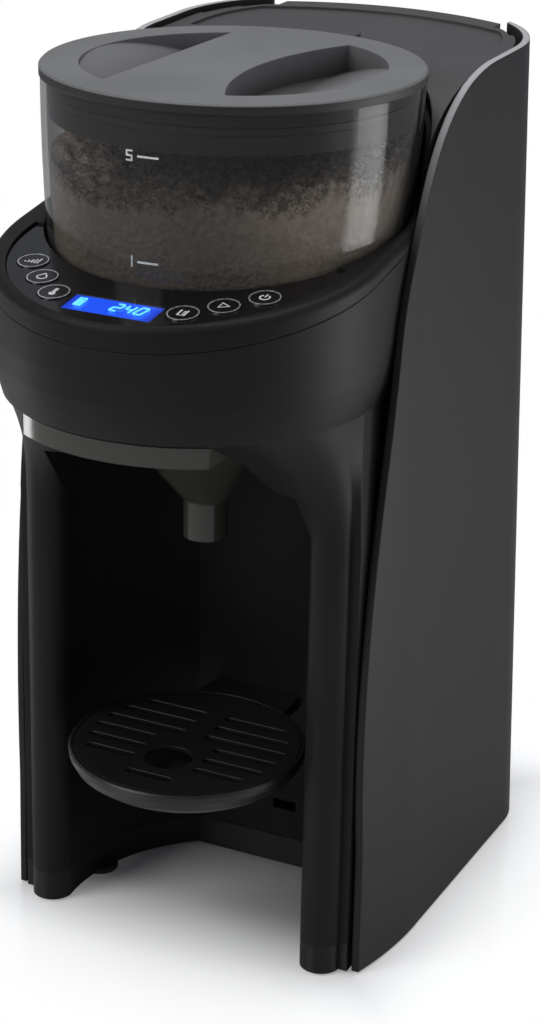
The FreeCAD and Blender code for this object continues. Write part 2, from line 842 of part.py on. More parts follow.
# Powder lid: disc with a hollow skirt and two finger wells beside a slanting grip bar
def powderLid():
    radius = float(dims.containerRadius) + 0.5
    z1 = float(lidTop)
    z0 = float(dims.containerTop) + 0.05
    y = float(containerCentre)
    bore = containerRadiusAt(float(dims.containerTop), -float(dims.containerWall))
    disc = rod(radius, z0, z1, 0, y)
    rimEdges = [edge for edge in disc.Edges if abs(edge.BoundBox.ZMin - z1) < 0.01 and edge.Length > 10]
    disc = disc.makeChamfer(0.8, rimEdges)
    skirtLow = z0 - float(dims.lidSkirt)
    skirt = rod(bore - 1.0, skirtLow, z0 + 1, 0, y).cut(rod(bore - 3.6, skirtLow - 1, z0 + 2, 0, y))
    groove = rod(bore + 1, z0 - 8.5, z0 - 5.5, 0, y).cut(rod(bore - 2.2, z0 - 9, z0 - 5, 0, y))
    wellRound = float(dims.lidWellRadius)
    cup = rod(wellRound + 2.0, z1 - 15.0, z0 + 1, 0, y)
    deep = z1 - float(dims.lidWellDepth)
    hollow = vec(float(dims.gripRight) - 13.4, y, deep)
    low = vec(float(dims.gripRight), y - 54.5, deep)
    high = vec(float(dims.gripRight), y + 54.5, deep)
    far = wellRound + 1.0
    corners = [vec(far, y + 54.5, deep), vec(far, y - 54.5, deep)]
    rightSide = prism([arc(low, hollow, high), line(high, corners[0]), line(corners[0], corners[1]),
                       line(corners[1], low)], 30.0)
    wells = rightSide.common(slopedBlock([(0, deep), (float(dims.gripRight) - 4, deep), (far, z1 + 0.2)], y))
    left = -float(dims.gripLeft)
    wells = wells.fuse(slopedBlock([(left, deep), (left - 4, deep), (-far, z1 + 0.2)], y))
    wells = wells.common(rod(wellRound, z1 - 20.0, z1 + 20, 0, y))
    return joined([disc, skirt.cut(groove), cup]).cut(wells)


feature("powder_lid", powderLid())


def lidSeal():
    z0 = float(dims.containerTop) + 0.05
    y = containerCentre
    bore = containerRadiusAt(float(dims.containerTop), -float(dims.containerWall))
    ring = rod(bore - 0.5, z0 - 8.3, z0 - 5.7, 0, y).cut(rod(bore - 2.15, z0 - 9, z0 - 5, 0, y))
    return ring


feature("lid_seal", lidSeal())


# Dosing wheel with measuring openings, and the stirrer that turns with it
def dosingWheel():
    body = newBody("dosing_wheel")
    thick = dims.wheelThick
    bore = dims.hubRadius + 0.06
    raisePad(body, "disc", thick, 0.0, circles=[(dims.wheelRadius,), (bore,)])
    hole = raisePad(body, "measure", thick + 2, -1.0, circles=[(7.5, 42.0, 0.0)], cut=True)
    polar(body, hole, 10)
    place(body, 0.0, mixAxis, dims.containerFloor + dims.containerWall + 0.3)


def stirrer():
    body = newBody("stirrer")
    bore = dims.hubRadius + 0.06
    turn(body, [(bore, 0), (11, 0), (9, 14), (0, 20), (0, 12), (bore, 12)], "hub")
    sketch = newSketch(body, "XZ_Plane", "blade_outline")
    reach = dims.wheelRadius - 3.0
    drawOutline(sketch, [(8, 1), (reach, 1), (reach, 22), (reach - 3.0, 22), (reach - 6.0, 5), (8, 9)])
    blade = body.newObject("PartDesign::Pad", "stirrer_blade")
    blade.Profile = sketch
    blade.Length = 3.0
    blade.Midplane = True
    polar(body, blade, 3)
    place(body, 0.0, mixAxis, dims.containerFloor + dims.containerWall + dims.wheelThick + 0.4)


dosingWheel()
stirrer()


# Drive train under the powder deck
def driveHub():
    body = newBody("drive_hub")
    low = motorDeckTop - deckTop + 0.4
    tip = dims.containerWall + dims.wheelThick + 10.0
    turn(body, [(0, low), (dims.hubRadius, low), (dims.hubRadius, tip - 1.0), (dims.hubRadius - 1.0, tip), (0, tip)])
    place(body, 0.0, mixAxis, deckTop)


def toothOutline(teeth, module, turnShare):
    pitch = teeth * module / 2.0
    outline = []
    for tooth in range(teeth):
        for share, radius in ((-0.30, pitch - 1.15 * module), (-0.105, pitch + 0.85 * module),
                              (0.105, pitch + 0.85 * module), (0.30, pitch - 1.15 * module)):
            angle = 2 * math.pi * (tooth + share + turnShare) / teeth
            outline.append(vec(radius * math.sin(angle), -radius * math.cos(angle), 0))
    return outline


def gear(label, teeth, bore, y, turnShare, bossRadius, bossHeight):
    module = float(dims.gearModule)
    outline = toothOutline(teeth, module, turnShare)
    edges = [line(outline[k], outline[(k + 1) % len(outline)]) for k in range(len(outline))]
    shape = prism(edges, dims.gearThick)
    if bossHeight > 0:
        shape = shape.fuse(rod(bossRadius, 0, float(dims.gearThick) + bossHeight))
    if bossHeight < 0:
        shape = shape.fuse(rod(bossRadius, bossHeight, 1))
    if float(bore) > 0:
        shape = shape.cut(rod(bore, -50, 50))
    feature(label, shape, 0.0, y, gearFloor)


def idlerY():
    return float(mixAxis) + float(gearSpan(driveTeeth, idlerTeeth))


driveHub()
gear("drive_gear", driveTeeth, dims.hubRadius + 0.02, mixAxis, 0.0, 9.0, 2.4)
gear("idler_gear", idlerTeeth, 2.55, idlerY(), 0.5, 5.0, 2.0)
gear("motor_pinion", pinionTeeth, 0.0, motorY(), 0.0, 2.5, -8.0)


# Axle of the idler gear, between the two decks
def idlerPin():
    axle = doc.addObject("Part::Cylinder", "idler_pin_form")
    axle.Label = "idler_pin"
    axle.Radius = 2.5
    tall = deckTop - deckThick - motorDeckTop
    axle.Height = float(tall)
    axle.setExpression("Height", tall.text)
    place(axle, 0.0, idlerY(), motorDeckTop)


idlerPin()


# Drive motor: can with a flange, hung under the motor deck
def driveMotor():
    body = newBody("drive_motor")
    radius = dims.motorRadius
    turn(body, [(3.0, -3.1), (radius, -3.1), (radius, -3.1 - dims.motorLength), (5.0, -3.1 - dims.motorLength),
                (5.0, -6.1 - dims.motorLength), (0, -6.1 - dims.motorLength), (0, -12.0), (3.0, -12.0)])
    place(body, 0.0, motorY(), motorDeckTop)


driveMotor()


# Funnel: drawer with a cone and a spout, open at the top
def funnelOutline(grow, z, back):
    half = float(mouthHalf) - 1.2 + grow
    radius = float(dims.lipRadius) - 1.0 + grow
    y = float(hoodCentre)
    front = y - math.sqrt(radius ** 2 - half ** 2)
    a = vec(half, front, z)
    b = vec(0, y - radius, z)
    c = vec(-half, front, z)
    d = vec(-half, back + grow, z)
    e = vec(half, back + grow, z)
    return [arc(a, b, c), line(c, d), line(d, e), line(e, a)]


# Many-sided ring, so that a leaning cone has flat faces
def ring(radius, y, z):
    sides = 40
    turns = [2 * math.pi * (k + 0.5) / sides for k in range(sides)]
    points = [vec(radius * math.cos(angle), y + radius * math.sin(angle), z) for angle in turns]
    return Part.Wire([line(points[k], points[(k + 1) % sides]) for k in range(sides)])


# Drawer tray with a cone under it that leads into the spout
def funnelForm(grow, floor, low, top):
    neck = float(dims.spoutTop)
    brim = float(dims.hoodLip) - 9.0
    radius = float(dims.spoutRadius) + grow
    mouth = float(dims.coneRadius) + grow
    cone = Part.makeLoft([ring(radius, spoutY, neck), ring(mouth, conePlace, brim)], True, True)
    if floor > brim:
        cone = cone.fuse(Part.Face(ring(mouth, conePlace, brim)).extrude(vec(0, 0, floor - brim + 1.0)))
    drawer = prism(funnelOutline(grow, floor, funnelBack), top - floor)
    spout = rod(radius - 0.1, low, neck + 1.0, 0, spoutY)
    return cone.fuse(drawer).fuse(spout)


def funnel():
    wall = float(dims.funnelWall)
    brim = float(dims.hoodLip) - 9.0
    top = float(dims.hoodLip) - 0.8
    outer = funnelForm(0.0, brim, float(dims.spoutEnd), top)
    inner = funnelForm(-wall, brim + wall, float(dims.spoutEnd) - 1, top + 1.0)
    return outer.cut(inner)


feature("funnel", funnel())


# Cover plate that sits inside the funnel's rim and guides the powder
def funnelCover():
    top = float(dims.hoodLip) - 2.4
    wall = float(dims.funnelWall)
    plate = prism(funnelOutline(-wall - 0.3, top - 1.6, funnelBack), 1.6)
    plate = plate.cut(rod(15.0, 200, 260, 0, outletY()))
    collar = rod(16.6, top - 5.0, top, 0, outletY()).cut(rod(15.0, 200, 260, 0, outletY()))
    shape = plate.fuse(collar)
    for x in (-28.0, 28.0):
        shape = shape.fuse(rod(2.0, top - 4.75, top - 1.0, x, -100.0))
    return shape


feature("funnel_cover", funnelCover())


# Drip tray: shallow cup with two tongues that go into the back of the bay
def dripTray():
    body = newBody("drip_tray")
    radius = dims.trayRadius
    deep = dims.trayDepth
    turn(body, [(0, -deep), (radius - 7.0, -deep), (radius - 2.4, 3.4 - deep), (radius - 0.4, 7.2 - deep),
                (radius, -1.0), (radius - 0.8, 0), (radius - 2.0, 0), (radius - 2.0, -2.2), (radius - 4.0, -2.2),
                (radius - 5.4, 4.6 - deep), (radius - 8.0, 2.0 - deep), (0, 2.0 - deep)], "cup")
    back = dims.bayBack - trayY
    raisePad(body, "bracket", 5.0, 3.0 - deep, [(-22, radius - 6.0), (22, radius - 6.0), (20, back - 0.4),
                                                (-20, back - 0.4)])
    for side, name in ((-1, "left"), (1, "right")):
        raisePad(body, name + "_tongue", 3.0, 1.7 - deep + 0.0,
                 [(side * 14 - 4.6, radius - 5.0), (side * 14 + 4.6, radius - 5.0),
                  (side * 14 + 4.6, back + dims.wall + 1.0), (side * 14 - 4.6, back + dims.wall + 1.0)])
    place(body, 0.0, trayY, dims.trayTop)


dripTray()


# Tray cover: thin plate with rows of slots and one round drain
def trayCover():
    y = float(trayY)
    top = float(dims.trayTop) - 0.1
    plate = rod(float(dims.trayRadius) - 2.3, top - 1.9, top, 0, y)
    slotHalf = 1.7

    def slot(x0, x1, yPlace):
        middle = block(x0, x1, yPlace - slotHalf, yPlace + slotHalf, 80, 95)
        return middle.fuse(rod(slotHalf, 80, 95, x0, yPlace)).fuse(rod(slotHalf, 80, 95, x1, yPlace))

    cuts = []
    for side in (-1, 1):
        for k in range(6):
            yPlace = y + 26.0 - 9.5 * k
            if abs(yPlace - y) > 38:
                continue
            outer = math.sqrt((float(dims.trayRadius) - 9.0) ** 2 - (yPlace - y) ** 2)
            inner = 15.0 if k > 2 else 6.0
            if outer > inner + 6:
                pair = sorted((side * inner, side * outer))
                cuts.append(slot(pair[0], pair[1], yPlace))
    cuts.append(slot(-9, 9, y - 34.0))
    cuts.append(rod(10.0, 80, 95, 0, y - 16.8))
    for cutter in cuts:
        plate = plate.cut(cutter)
    return plate


feature("drip_tray_cover", trayCover())


# Water tank: open box behind the partition, with a collar that fills the back between the shells
def tankPlan(inset, z0, z1):
    front = float(dims.partitionPlace) + float(dims.wall) + 1.0 + inset
    return betweenShells(3.0 + inset, z0, z1, front)


# Fills the opening between the rear edges of the shells, out to their own surface
def rearStrip(depth, side, z0, z1):
    half = float(dims.rearOpening) / 2 - side
    radius = float(dims.rearRadius)
    centre = shellRear(0.0) + float(dims.wall) - radius
    outer = rod(radius, z0, z1, 0, centre)
    inner = rod(radius - depth, z0, z1, 0, centre)
    return outer.cut(inner).common(block(-half, half, 80, 160, 0, 400))


tankFloor = float(dims.shelfHeight) + 0.3
tankTop = tankFloor + float(dims.tankHeight)
hingeY = float(backY) - 5.2
hingeZ = float(dims.shellHeight) - 9.4
collarTop = hingeZ + 0.8


def hingeBar(radius, x0, x1):
    return Part.makeCylinder(radius, x1 - x0, vec(x0, hingeY, hingeZ), vec(1, 0, 0))


def waterTank():
    wall = float(dims.tankWall)
    shape = tankPlan(0.0, tankFloor, tankTop).cut(tankPlan(wall, tankFloor + wall, tankTop + 1))
    collar = rearStrip(8.2, 0.7, tankTop - 32.0, collarTop)
    shape = shape.fuse(collar)
    y = valveY()
    shape = shape.fuse(rod(9.6, tankFloor - 4.0, tankFloor + 0.1, 0, y))
    shape = shape.cut(rod(3.4, 40, tankFloor + 5, 0, y))
    notch = block(-22.4, 22.4, hingeY - 4.4, hingeY + 20, hingeZ - 3.2, hingeZ + 20)
    shape = shape.cut(notch)
    for x0, x1 in ((-22.5, -15.0), (15.0, 22.5)):
        ear = hingeBar(2.4, x0, x1).fuse(block(x0, x1, hingeY - 2.4, hingeY + 2.4, hingeZ - 5, hingeZ))
        shape = shape.fuse(ear)
    return shape.cut(hingeBar(1.55, -30, 30))


feature("water_tank", waterTank())


# Tank lid: dished cover with two horns that sweep down beside the powder container
def tankLid():
    thick = float(dims.lidPlate)
    y = float(containerCentre)
    top = float(dims.shellHeight)
    slab = behindEdge(2.0, 200).cut(behindEdge(2.0 + thick, 200))
    plan = rearStrip(20.0, 5.0, 300, 400)
    for fit, reach in ((0.9, 86.0), (2.4, 106.0), (4.6, 200.0)):
        plan = plan.fuse(betweenShells(dims.gap + fit, 300, 400, -20.0).common(block(-200, 200, -200, reach, 0, 400)))
    slab = slab.common(plan)
    slab = slab.cut(rod(float(dims.containerRadius) + 2.4, 0, 400, 0, y))
    dish = behindEdge(0.0, 200).cut(behindEdge(3.2, 200)).common(betweenShells(9.0, 300, 400, 62.0))
    slab = slab.cut(dish)
    reach = float(dims.containerRadius) + 2.4
    tab = rod(17.0, top - 4.4, top + 1.4, 0, y + reach + 1.0).cut(rod(reach, 0, 400, 0, y))
    shape = slab.fuse(tab).cut(keepOut)
    for x0, x1 in ((-14.6, -7.6), (7.6, 14.6)):
        knuckle = hingeBar(2.4, x0, x1).fuse(block(x0, x1, hingeY - 2.4, hingeY + 2.4, hingeZ, top - 3.5))
        shape = shape.fuse(knuckle)
    return shape.cut(hingeBar(1.55, -30, 30))


feature("tank_lid", tankLid())

pin = doc.addObject("Part::Cylinder", "tank_hinge_pin_form")
pin.Label = "tank_hinge_pin"
pin.Radius = 1.5
pin.Height = 44.6
pin.Placement = FreeCAD.Placement(vec(-22.3, hingeY, hingeZ), FreeCAD.Rotation(vec(0, 1, 0), 90))


# Valve in the tank's outlet and the seat under it
def tankValve():
    body = newBody("tank_valve")
    turn(body, [(0, -3.4), (2.0, -3.4), (2.0, 3.3), (6.0, 3.3), (6.0, 4.8), (2.0, 4.8), (2.0, 12.0), (0, 12.0)])
    place(body, 0.0, valveY(), tankFloor)


def valveSeat():
    body = newBody("valve_seat")
    turn(body, [(1.2, -12.0), (4.0, -12.0), (4.0, -7.0), (13.0, -7.0), (13.0, -4.4), (10.0, -4.4), (10.0, -6.0),
                (5.0, -6.0), (5.0, -5.0), (1.2, -5.0)])
    place(body, 0.0, valveY(), tankFloor)


tankValve()
valveSeat()


# Rear cover below the tank, with the power inlet
def rearCover():
    z0 = float(dims.footLift) + float(dims.wall) + 0.1
    z1 = float(dims.shelfHeight) - 0.2
    shape = rearStrip(float(dims.wall), 0.5, z0, z1)
    return shape.cut(block(6, 34, 100, 160, 22, 42))


def powerInlet():
    y1 = float(backY) - 4.6
    outer = block(6.2, 33.8, y1 - 20, y1, 22.2, 41.8)
    hole = block(8.4, 31.6, y1 - 14, y1 + 1, 24.4, 39.6)
    shape = outer.cut(hole)
    for x in (14.0, 26.0):
        shape = shape.fuse(block(x - 1.0, x + 1.0, y1 - 14.5, y1 - 4, 30.5, 33.5))
    return shape


feature("rear_cover", rearCover())
feature("power_inlet", powerInlet())


# Pump, heater, hoses and the water nozzle
pumpX = -38.0
pumpY = 92.0


def waterPump():
    low = float(dims.footLift) + float(dims.wall)
    body = newBody("water_pump")
    radius = dims.pumpRadius
    turn(body, [(0, 0), (radius + 3, 0), (radius + 3, 2.5), (radius, 2.5), (radius, 26), (13, 28), (13, 44),
                (0, 44)])
    place(body, pumpX, pumpY, low + 0.05)


def waterHeater():
    body = newBody("water_heater")
    radius = dims.heaterRadius
    tall = dims.heaterHeight
    turn(body, [(0, 0), (radius - 4, 0), (radius, 4), (radius, tall - 4), (radius - 4, tall), (0, tall)])
    for height in (20.0, 100.0):
        raisePad(body, "band_%d" % int(height), 3.0, height, circles=[(radius + 1.5,)])
    place(body, heaterX, heaterY, heaterLow)


waterPump()
waterHeater()


# A hose along straight runs joined by round bends
def hose(label, points, bend):
    points = [vec(*p) for p in points]
    edges = []
    start = points[0]
    for k in range(1, len(points) - 1):
        before = (points[k - 1] - points[k]).normalize()
        after = (points[k + 1] - points[k]).normalize()
        turnAngle = math.pi - before.getAngle(after)
        setback = bend * math.tan(turnAngle / 2)
        enter = points[k] + before * setback
        leave = points[k] + after * setback
        inward = (before + after).normalize()
        centre = points[k] + inward * (bend / math.cos(turnAngle / 2))
        middle = centre - inward * bend
        if (enter - start).Length > 0.01:
            edges.append(line(start, enter))
        edges.append(arc(enter, middle, leave))
        start = leave
    edges.append(line(start, points[-1]))
    path = Part.Wire(edges)
    direction = (points[1] - points[0]).normalize()
    outer = Part.Wire([Part.Circle(points[0], direction, float(dims.hoseRadius)).toShape()])
    feature(label, path.makePipeShell([outer], True, False))


seatLow = tankFloor - 12.0
hose("suction_hose", [(0, valveY(), seatLow - 0.05), (0, valveY(), 20), (-15.8, pumpY, 20)], 7.0)
pumpTop = float(dims.footLift) + float(dims.wall) + 44.1
hose("feed_hose", [(pumpX, pumpY - 19.1, hoseLow), (pumpX, 62, hoseLow), (heaterX, 62, hoseLow),
                   (heaterX, heaterY, hoseLow), (heaterX, heaterY, heaterLow - 0.05)], 9.0)
heaterTop = heaterLow + float(dims.heaterHeight)
nozzleZ = float(dims.archHeight) + float(dims.wall)
hose("outlet_hose", [(heaterX, heaterY, heaterTop + 0.05), (heaterX, heaterY, nozzleZ + 20.0),
                     (heaterX, -15.0, nozzleZ + 20.0), (0, -15.0, nozzleZ + 20.0), (0, -15.0, nozzleZ + 4.6)], 9.0)


def waterNozzle():
    body = newBody("water_nozzle")
    turn(body, [(1.6, 4.5), (6.0, 4.5), (6.0, 0.1), (4.4, 0.1), (4.4, -4.0), (2.6, -9.0), (1.6, -9.0)])
    place(body, 0.0, -15.0, dims.archHeight + dims.wall)


waterNozzle()


# Rubber feet and the screws that hold the pan to the frame
def groupOf(label, shapes):
    feature(label, Part.makeCompound(shapes))


def feet():
    shapes = []
    for x in (-58.0, 58.0):
        for y in (-35.0, 100.0):
            shapes.append(rod(8.0, 0, float(dims.footLift) + 1.5, x, y))
    groupOf("feet", shapes)


def panScrews():
    shapes = []
    low = float(dims.footLift)
    for x in (-62.0, 62.0):
        for y in (10.0, 70.0):
            head = rod(3.0, low + 0.1, low + 1.45, x, y)
            shank = rod(1.5, low + 1.4, low + 11.0, x, y)
            shapes.append(head.fuse(shank))
    groupOf("pan_screws", shapes)


feet()
panScrews()


# Checks on every object, then one file for each sub-part
doc.recompute()
subparts = []
for thing in doc.Objects:
    for word in ("Invalid", "Error"):
        if word in thing.State:
            raise RuntimeError("%s is %s" % (thing.Label, word))
    if thing.TypeId == "PartDesign::Body" or (thing.TypeId.startswith("Part::") and not thing.InList):
        subparts.append(thing)

for thing in subparts:
    shape = thing.Shape
    if shape.isNull() or not shape.isValid():
        raise RuntimeError("bad shape: " + thing.Label)

names = [thing.Label for thing in subparts]
if len(set(names)) != len(names):
    raise RuntimeError("two sub-parts share a name")

for thing in subparts:
    thing.Shape.exportStep("parts/" + thing.Label + ".step")
    solids = len(thing.Shape.Solids)
    print(thing.Label, solids, round(thing.Shape.Volume / 1000.0, 2), "cm3")
print(len(subparts), "sub-parts")
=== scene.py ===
import math
import bpy
import bmesh
from mathutils import Matrix, Vector, noise


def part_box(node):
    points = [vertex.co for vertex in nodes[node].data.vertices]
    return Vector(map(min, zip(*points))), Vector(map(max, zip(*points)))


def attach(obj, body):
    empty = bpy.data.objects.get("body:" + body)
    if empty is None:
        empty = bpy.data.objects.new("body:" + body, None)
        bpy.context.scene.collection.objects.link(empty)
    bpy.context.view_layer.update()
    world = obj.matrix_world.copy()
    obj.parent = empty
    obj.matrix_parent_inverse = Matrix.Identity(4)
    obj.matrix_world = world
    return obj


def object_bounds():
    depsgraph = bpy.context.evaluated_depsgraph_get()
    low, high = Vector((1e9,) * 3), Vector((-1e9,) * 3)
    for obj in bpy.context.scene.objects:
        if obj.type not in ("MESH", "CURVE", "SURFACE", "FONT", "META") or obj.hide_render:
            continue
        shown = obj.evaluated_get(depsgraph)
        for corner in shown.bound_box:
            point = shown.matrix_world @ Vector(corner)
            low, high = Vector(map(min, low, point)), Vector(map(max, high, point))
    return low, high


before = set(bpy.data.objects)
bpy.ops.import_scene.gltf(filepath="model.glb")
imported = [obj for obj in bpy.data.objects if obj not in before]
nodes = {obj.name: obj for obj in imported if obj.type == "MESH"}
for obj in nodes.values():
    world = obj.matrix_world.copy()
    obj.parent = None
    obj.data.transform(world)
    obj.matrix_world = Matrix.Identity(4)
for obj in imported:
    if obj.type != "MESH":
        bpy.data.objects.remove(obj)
cadLow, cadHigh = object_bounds()
print("frame loaded:", len(nodes), "nodes")


# Shader maths written as expressions
class Value:
    def __init__(self, look, socket):
        self.look = look
        self.socket = socket

    def maths(self, operation, other, swapped=False):
        pair = (other, self) if swapped else (self, other)
        return self.look.node("ShaderNodeMath", {"operation": operation}, {0: pair[0], 1: pair[1]})

    def __add__(self, other):
        return self.maths("ADD", other)

    def __sub__(self, other):
        return self.maths("SUBTRACT", other)

    def __mul__(self, other):
        return self.maths("MULTIPLY", other)

    def __truediv__(self, other):
        return self.maths("DIVIDE", other)

    def __rsub__(self, other):
        return self.maths("SUBTRACT", other, True)

    def __rtruediv__(self, other):
        return self.maths("DIVIDE", other, True)

    __radd__ = __add__
    __rmul__ = __mul__

    def above(self, other):
        return self.maths("GREATER_THAN", other)

    def below(self, other):
        return self.maths("LESS_THAN", other)

    def most(self, other):
        return self.maths("MAXIMUM", other)

    def least(self, other):
        return self.maths("MINIMUM", other)

    def fade(self, low, high, start=0.0, end=1.0):    # smooth ramp from start to end
        sockets = {"Value": self, "From Min": low, "From Max": high, "To Min": start, "To Max": end}
        return self.look.node("ShaderNodeMapRange", {"interpolation_type": "SMOOTHSTEP"}, sockets)


class Look:
    def __init__(self, name):
        self.material = bpy.data.materials.new(name)
        self.material.use_nodes = True
        self.tree = self.material.node_tree
        self.shader = self.tree.nodes["Principled BSDF"]

    def node(self, kind, settings=None, sockets=None, output=0):
        made = self.tree.nodes.new(kind)
        for name, setting in (settings or {}).items():
            setattr(made, name, setting)
        for name, value in (sockets or {}).items():
            self.feed(made.inputs[name], value)
        return Value(self, made.outputs[output])

    def feed(self, socket, value):
        if isinstance(value, Value):
            self.tree.links.new(value.socket, socket)
        elif socket.type == "RGBA" and len(value) == 3:
            socket.default_value = tuple(value) + (1.0,)
        else:
            socket.default_value = value

    def set(self, **sockets):
        for name, value in sockets.items():
            self.feed(self.shader.inputs[name.replace("_", " ")], value)

    def place(self):
        return self.node("ShaderNodeTexCoord", output=3)

    def axes(self):
        split = self.node("ShaderNodeSeparateXYZ", None, {0: self.place()})
        outputs = split.socket.node.outputs
        return [Value(self, outputs[k]) for k in range(3)]

    def grain(self, scale, detail=2.0, stretch=None):
        where = self.place()
        if stretch:
            where = self.node("ShaderNodeMapping", None, {"Vector": where, "Scale": stretch})
        return self.node("ShaderNodeTexNoise", None, {"Vector": where, "Scale": scale, "Detail": detail})

    def mix(self, factor, first, second):
        return self.node("ShaderNodeMix", {"data_type": "RGBA"}, {0: factor, 6: first, 7: second}, output=2)

    def bump(self, height, strength, distance, over=None):
        sockets = {"Strength": strength, "Distance": distance, "Height": height}
        if over:
            sockets["Normal"] = over
        return self.node("ShaderNodeBump", None, sockets)

    def soft(self, radius):    # rounds the edges in the shading
        return self.node("ShaderNodeBevel", {"samples": 6}, {"Radius": radius})


def wear(name, target):    # gives one finish to a node
    thing = nodes[name]
    thing.data.materials.clear()
    thing.data.materials.append(target.material)


# Moulded plastic
plastics = {
    "frontBody": {"colour": (0.0142, 0.0143, 0.0145), "rough": 0.5, "grain": 2300.0,
                  "edge": 0.0008, "shine": 0.15},
    "baseBand": {"colour": (0.0085, 0.0086, 0.0088), "rough": 0.44, "grain": 2300.0,
                 "edge": 0.0006, "shine": 0.3},
    "bezelRim": {"colour": (0.0118, 0.0119, 0.0121), "rough": 0.5, "grain": 2300.0,
                 "edge": 0.0008, "shine": 0.15},
    "rearLid": {"colour": (0.05, 0.0503, 0.051), "rough": 0.5, "grain": 1900.0,
                "edge": 0.0008, "shine": 0.35},
    "dripTray": {"colour": (0.013, 0.0131, 0.0133), "rough": 0.36, "grain": 2300.0,
                 "edge": 0.0007, "shine": 0.4},
    "innerFrame": {"colour": (0.1, 0.1, 0.1), "rough": 0.5, "grain": 1500.0, "edge": 0.0006, "shine": 0.5},
    "whiteParts": {"colour": (0.62, 0.61, 0.58), "rough": 0.4, "grain": 1500.0,
                   "edge": 0.0004, "shine": 0.5},
    "buttonCap": {"colour": (0.006, 0.006, 0.007), "rough": 0.16, "grain": 1500.0,
                  "edge": 0.0003, "shine": 0.5},
}
mouldFacts = {
    "patches": 14.0, "span": (0.35, 0.65), "darker": 0.93, "lighter": 1.08,
    "roughPatches": 0.05, "roughGrain": 0.06, "bump": 0.12, "bumpDepth": 0.00012, "index": 1.5,
}


def plastic(name, facts, tintAndPaintedLight=None):    # the tint turns the plain colour into one that varies by place, with painted highlight and painted shade included
    look = Look(name)
    mould = mouldFacts
    broad = look.grain(mould["patches"], 3.0)
    fine = look.grain(facts["grain"], 2.0)
    darker = tuple(part * mould["darker"] for part in facts["colour"])
    lighter = tuple(part * mould["lighter"] for part in facts["colour"])
    shade = look.mix(broad.fade(*mould["span"]), darker, lighter)
    if tintAndPaintedLight:
        shade = tintAndPaintedLight(look, shade)
    plain = facts["rough"] - (mould["roughPatches"] + mould["roughGrain"]) / 2
    look.set(Base_Color=shade,
             Roughness=broad * mould["roughPatches"] + fine * mould["roughGrain"] + plain,
             Normal=look.bump(fine, mould["bump"], mould["bumpDepth"], look.soft(facts["edge"])))
    look.shader.inputs["IOR"].default_value = mould["index"]
    look.shader.inputs["Specular IOR Level"].default_value = facts["shine"]
    return look


def facing(look):    # size of the surface direction along each axis
    split = look.node("ShaderNodeSeparateXYZ", None, {0: look.node("ShaderNodeNewGeometry", output=1)})
    outputs = split.socket.node.outputs
    return [Value(look, outputs[k]).maths("ABSOLUTE", 0.0) for k in range(3)]


shellFacts = {
    "colour": (0.0215, 0.0217, 0.022), "rough": 0.5, "grain": 2300.0, "edge": 0.0016, "shine": 0.18,
    # painted highlight: the light strip colour on the shells' top edges and where it lies
    "paintedHighlight": (0.42, 0.42, 0.425), "highlightLow": 0.296, "highlightHigh": 0.346, "highlightBack": 0.125, "sideways": 0.55,
}


def shellPaintedHighlight(look, shade):    # painted highlight: a bright strip along the top edge of each side shell, set by height and surface direction
    facts = shellFacts
    x, y, z = look.axes()
    narrow = facing(look)[0].below(facts["sideways"])
    paintedHighlight = narrow * z.fade(facts["highlightLow"], facts["highlightHigh"]) * y.below(facts["highlightBack"])
    return look.mix(paintedHighlight, shade, facts["paintedHighlight"])


lidFacts = {
    "colour": (0.152, 0.153, 0.155), "rough": 0.52, "grain": 1900.0, "edge": 0.0009, "shine": 0.4,
    "band": (0.018, 0.0182, 0.0185), "bandRadius": 0.0725, "upright": 0.35,
    "skirt": (0.021, 0.026, 0.029), "skirtTop": 0.3619, "skirtRadius": 0.063,
    # painted shade in the wells: their floor, top and radius, and how dark their floor is painted
    "wellFloor": 0.351, "wellTop": 0.3654, "wellRadius": 0.0603, "wellShade": 0.8,
}
lidLow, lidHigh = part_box("powder_lid")
lidMiddle = (lidLow + lidHigh) / 2


def lidTintAndWellShade(look, shade):    # dark edge band, smoky skirt under it, and painted shade in the wells, which darken with depth
    facts = lidFacts
    x, y, z = look.axes()
    far = (x - lidMiddle.x) * (x - lidMiddle.x) + (y - lidMiddle.y) * (y - lidMiddle.y)
    band = facing(look)[2].below(facts["upright"]) * far.above(facts["bandRadius"] ** 2)
    banded = look.mix(band, shade, facts["band"])
    skirt = z.below(facts["skirtTop"]) * far.above(facts["skirtRadius"] ** 2)
    skirted = look.mix(skirt, banded, facts["skirt"])
    # painted shade: the wells darken towards their floor, to the dark band colour
    paintedWellShade = z.fade(facts["wellFloor"], facts["wellTop"], facts["wellShade"], 0.0)
    return look.mix(paintedWellShade * far.below(facts["wellRadius"] ** 2), skirted, facts["band"])


looks = {name: plastic(name, facts) for name, facts in plastics.items()}
looks["sideShell"] = plastic("sideShell", shellFacts, shellPaintedHighlight)
looks["powderLid"] = plastic("powderLid", lidFacts, lidTintAndWellShade)
for nodeName, lookName in {
    "front_housing": "frontBody", "top_bezel": "bezelRim", "base_moulding": "baseBand",
    "left_side_shell": "sideShell", "right_side_shell": "sideShell", "chassis_frame": "innerFrame",
    "container_well": "frontBody", "powder_lid": "powderLid", "tank_lid": "rearLid",
    "drip_tray": "dripTray", "drip_tray_cover": "dripTray", "rear_cover": "frontBody",
    "power_inlet": "baseBand", "water_pump": "innerFrame", "dosing_wheel": "whiteParts",
    "stirrer": "whiteParts", "drive_gear": "whiteParts", "idler_gear": "whiteParts",
    "tank_valve": "whiteParts", "valve_seat": "whiteParts",
}.items():
    wear(nodeName, looks[lookName])
for capName in ("strength", "water_only", "temperature", "unit", "start", "power"):
    wear(capName + "_button", looks["buttonCap"])
print("plastics done")


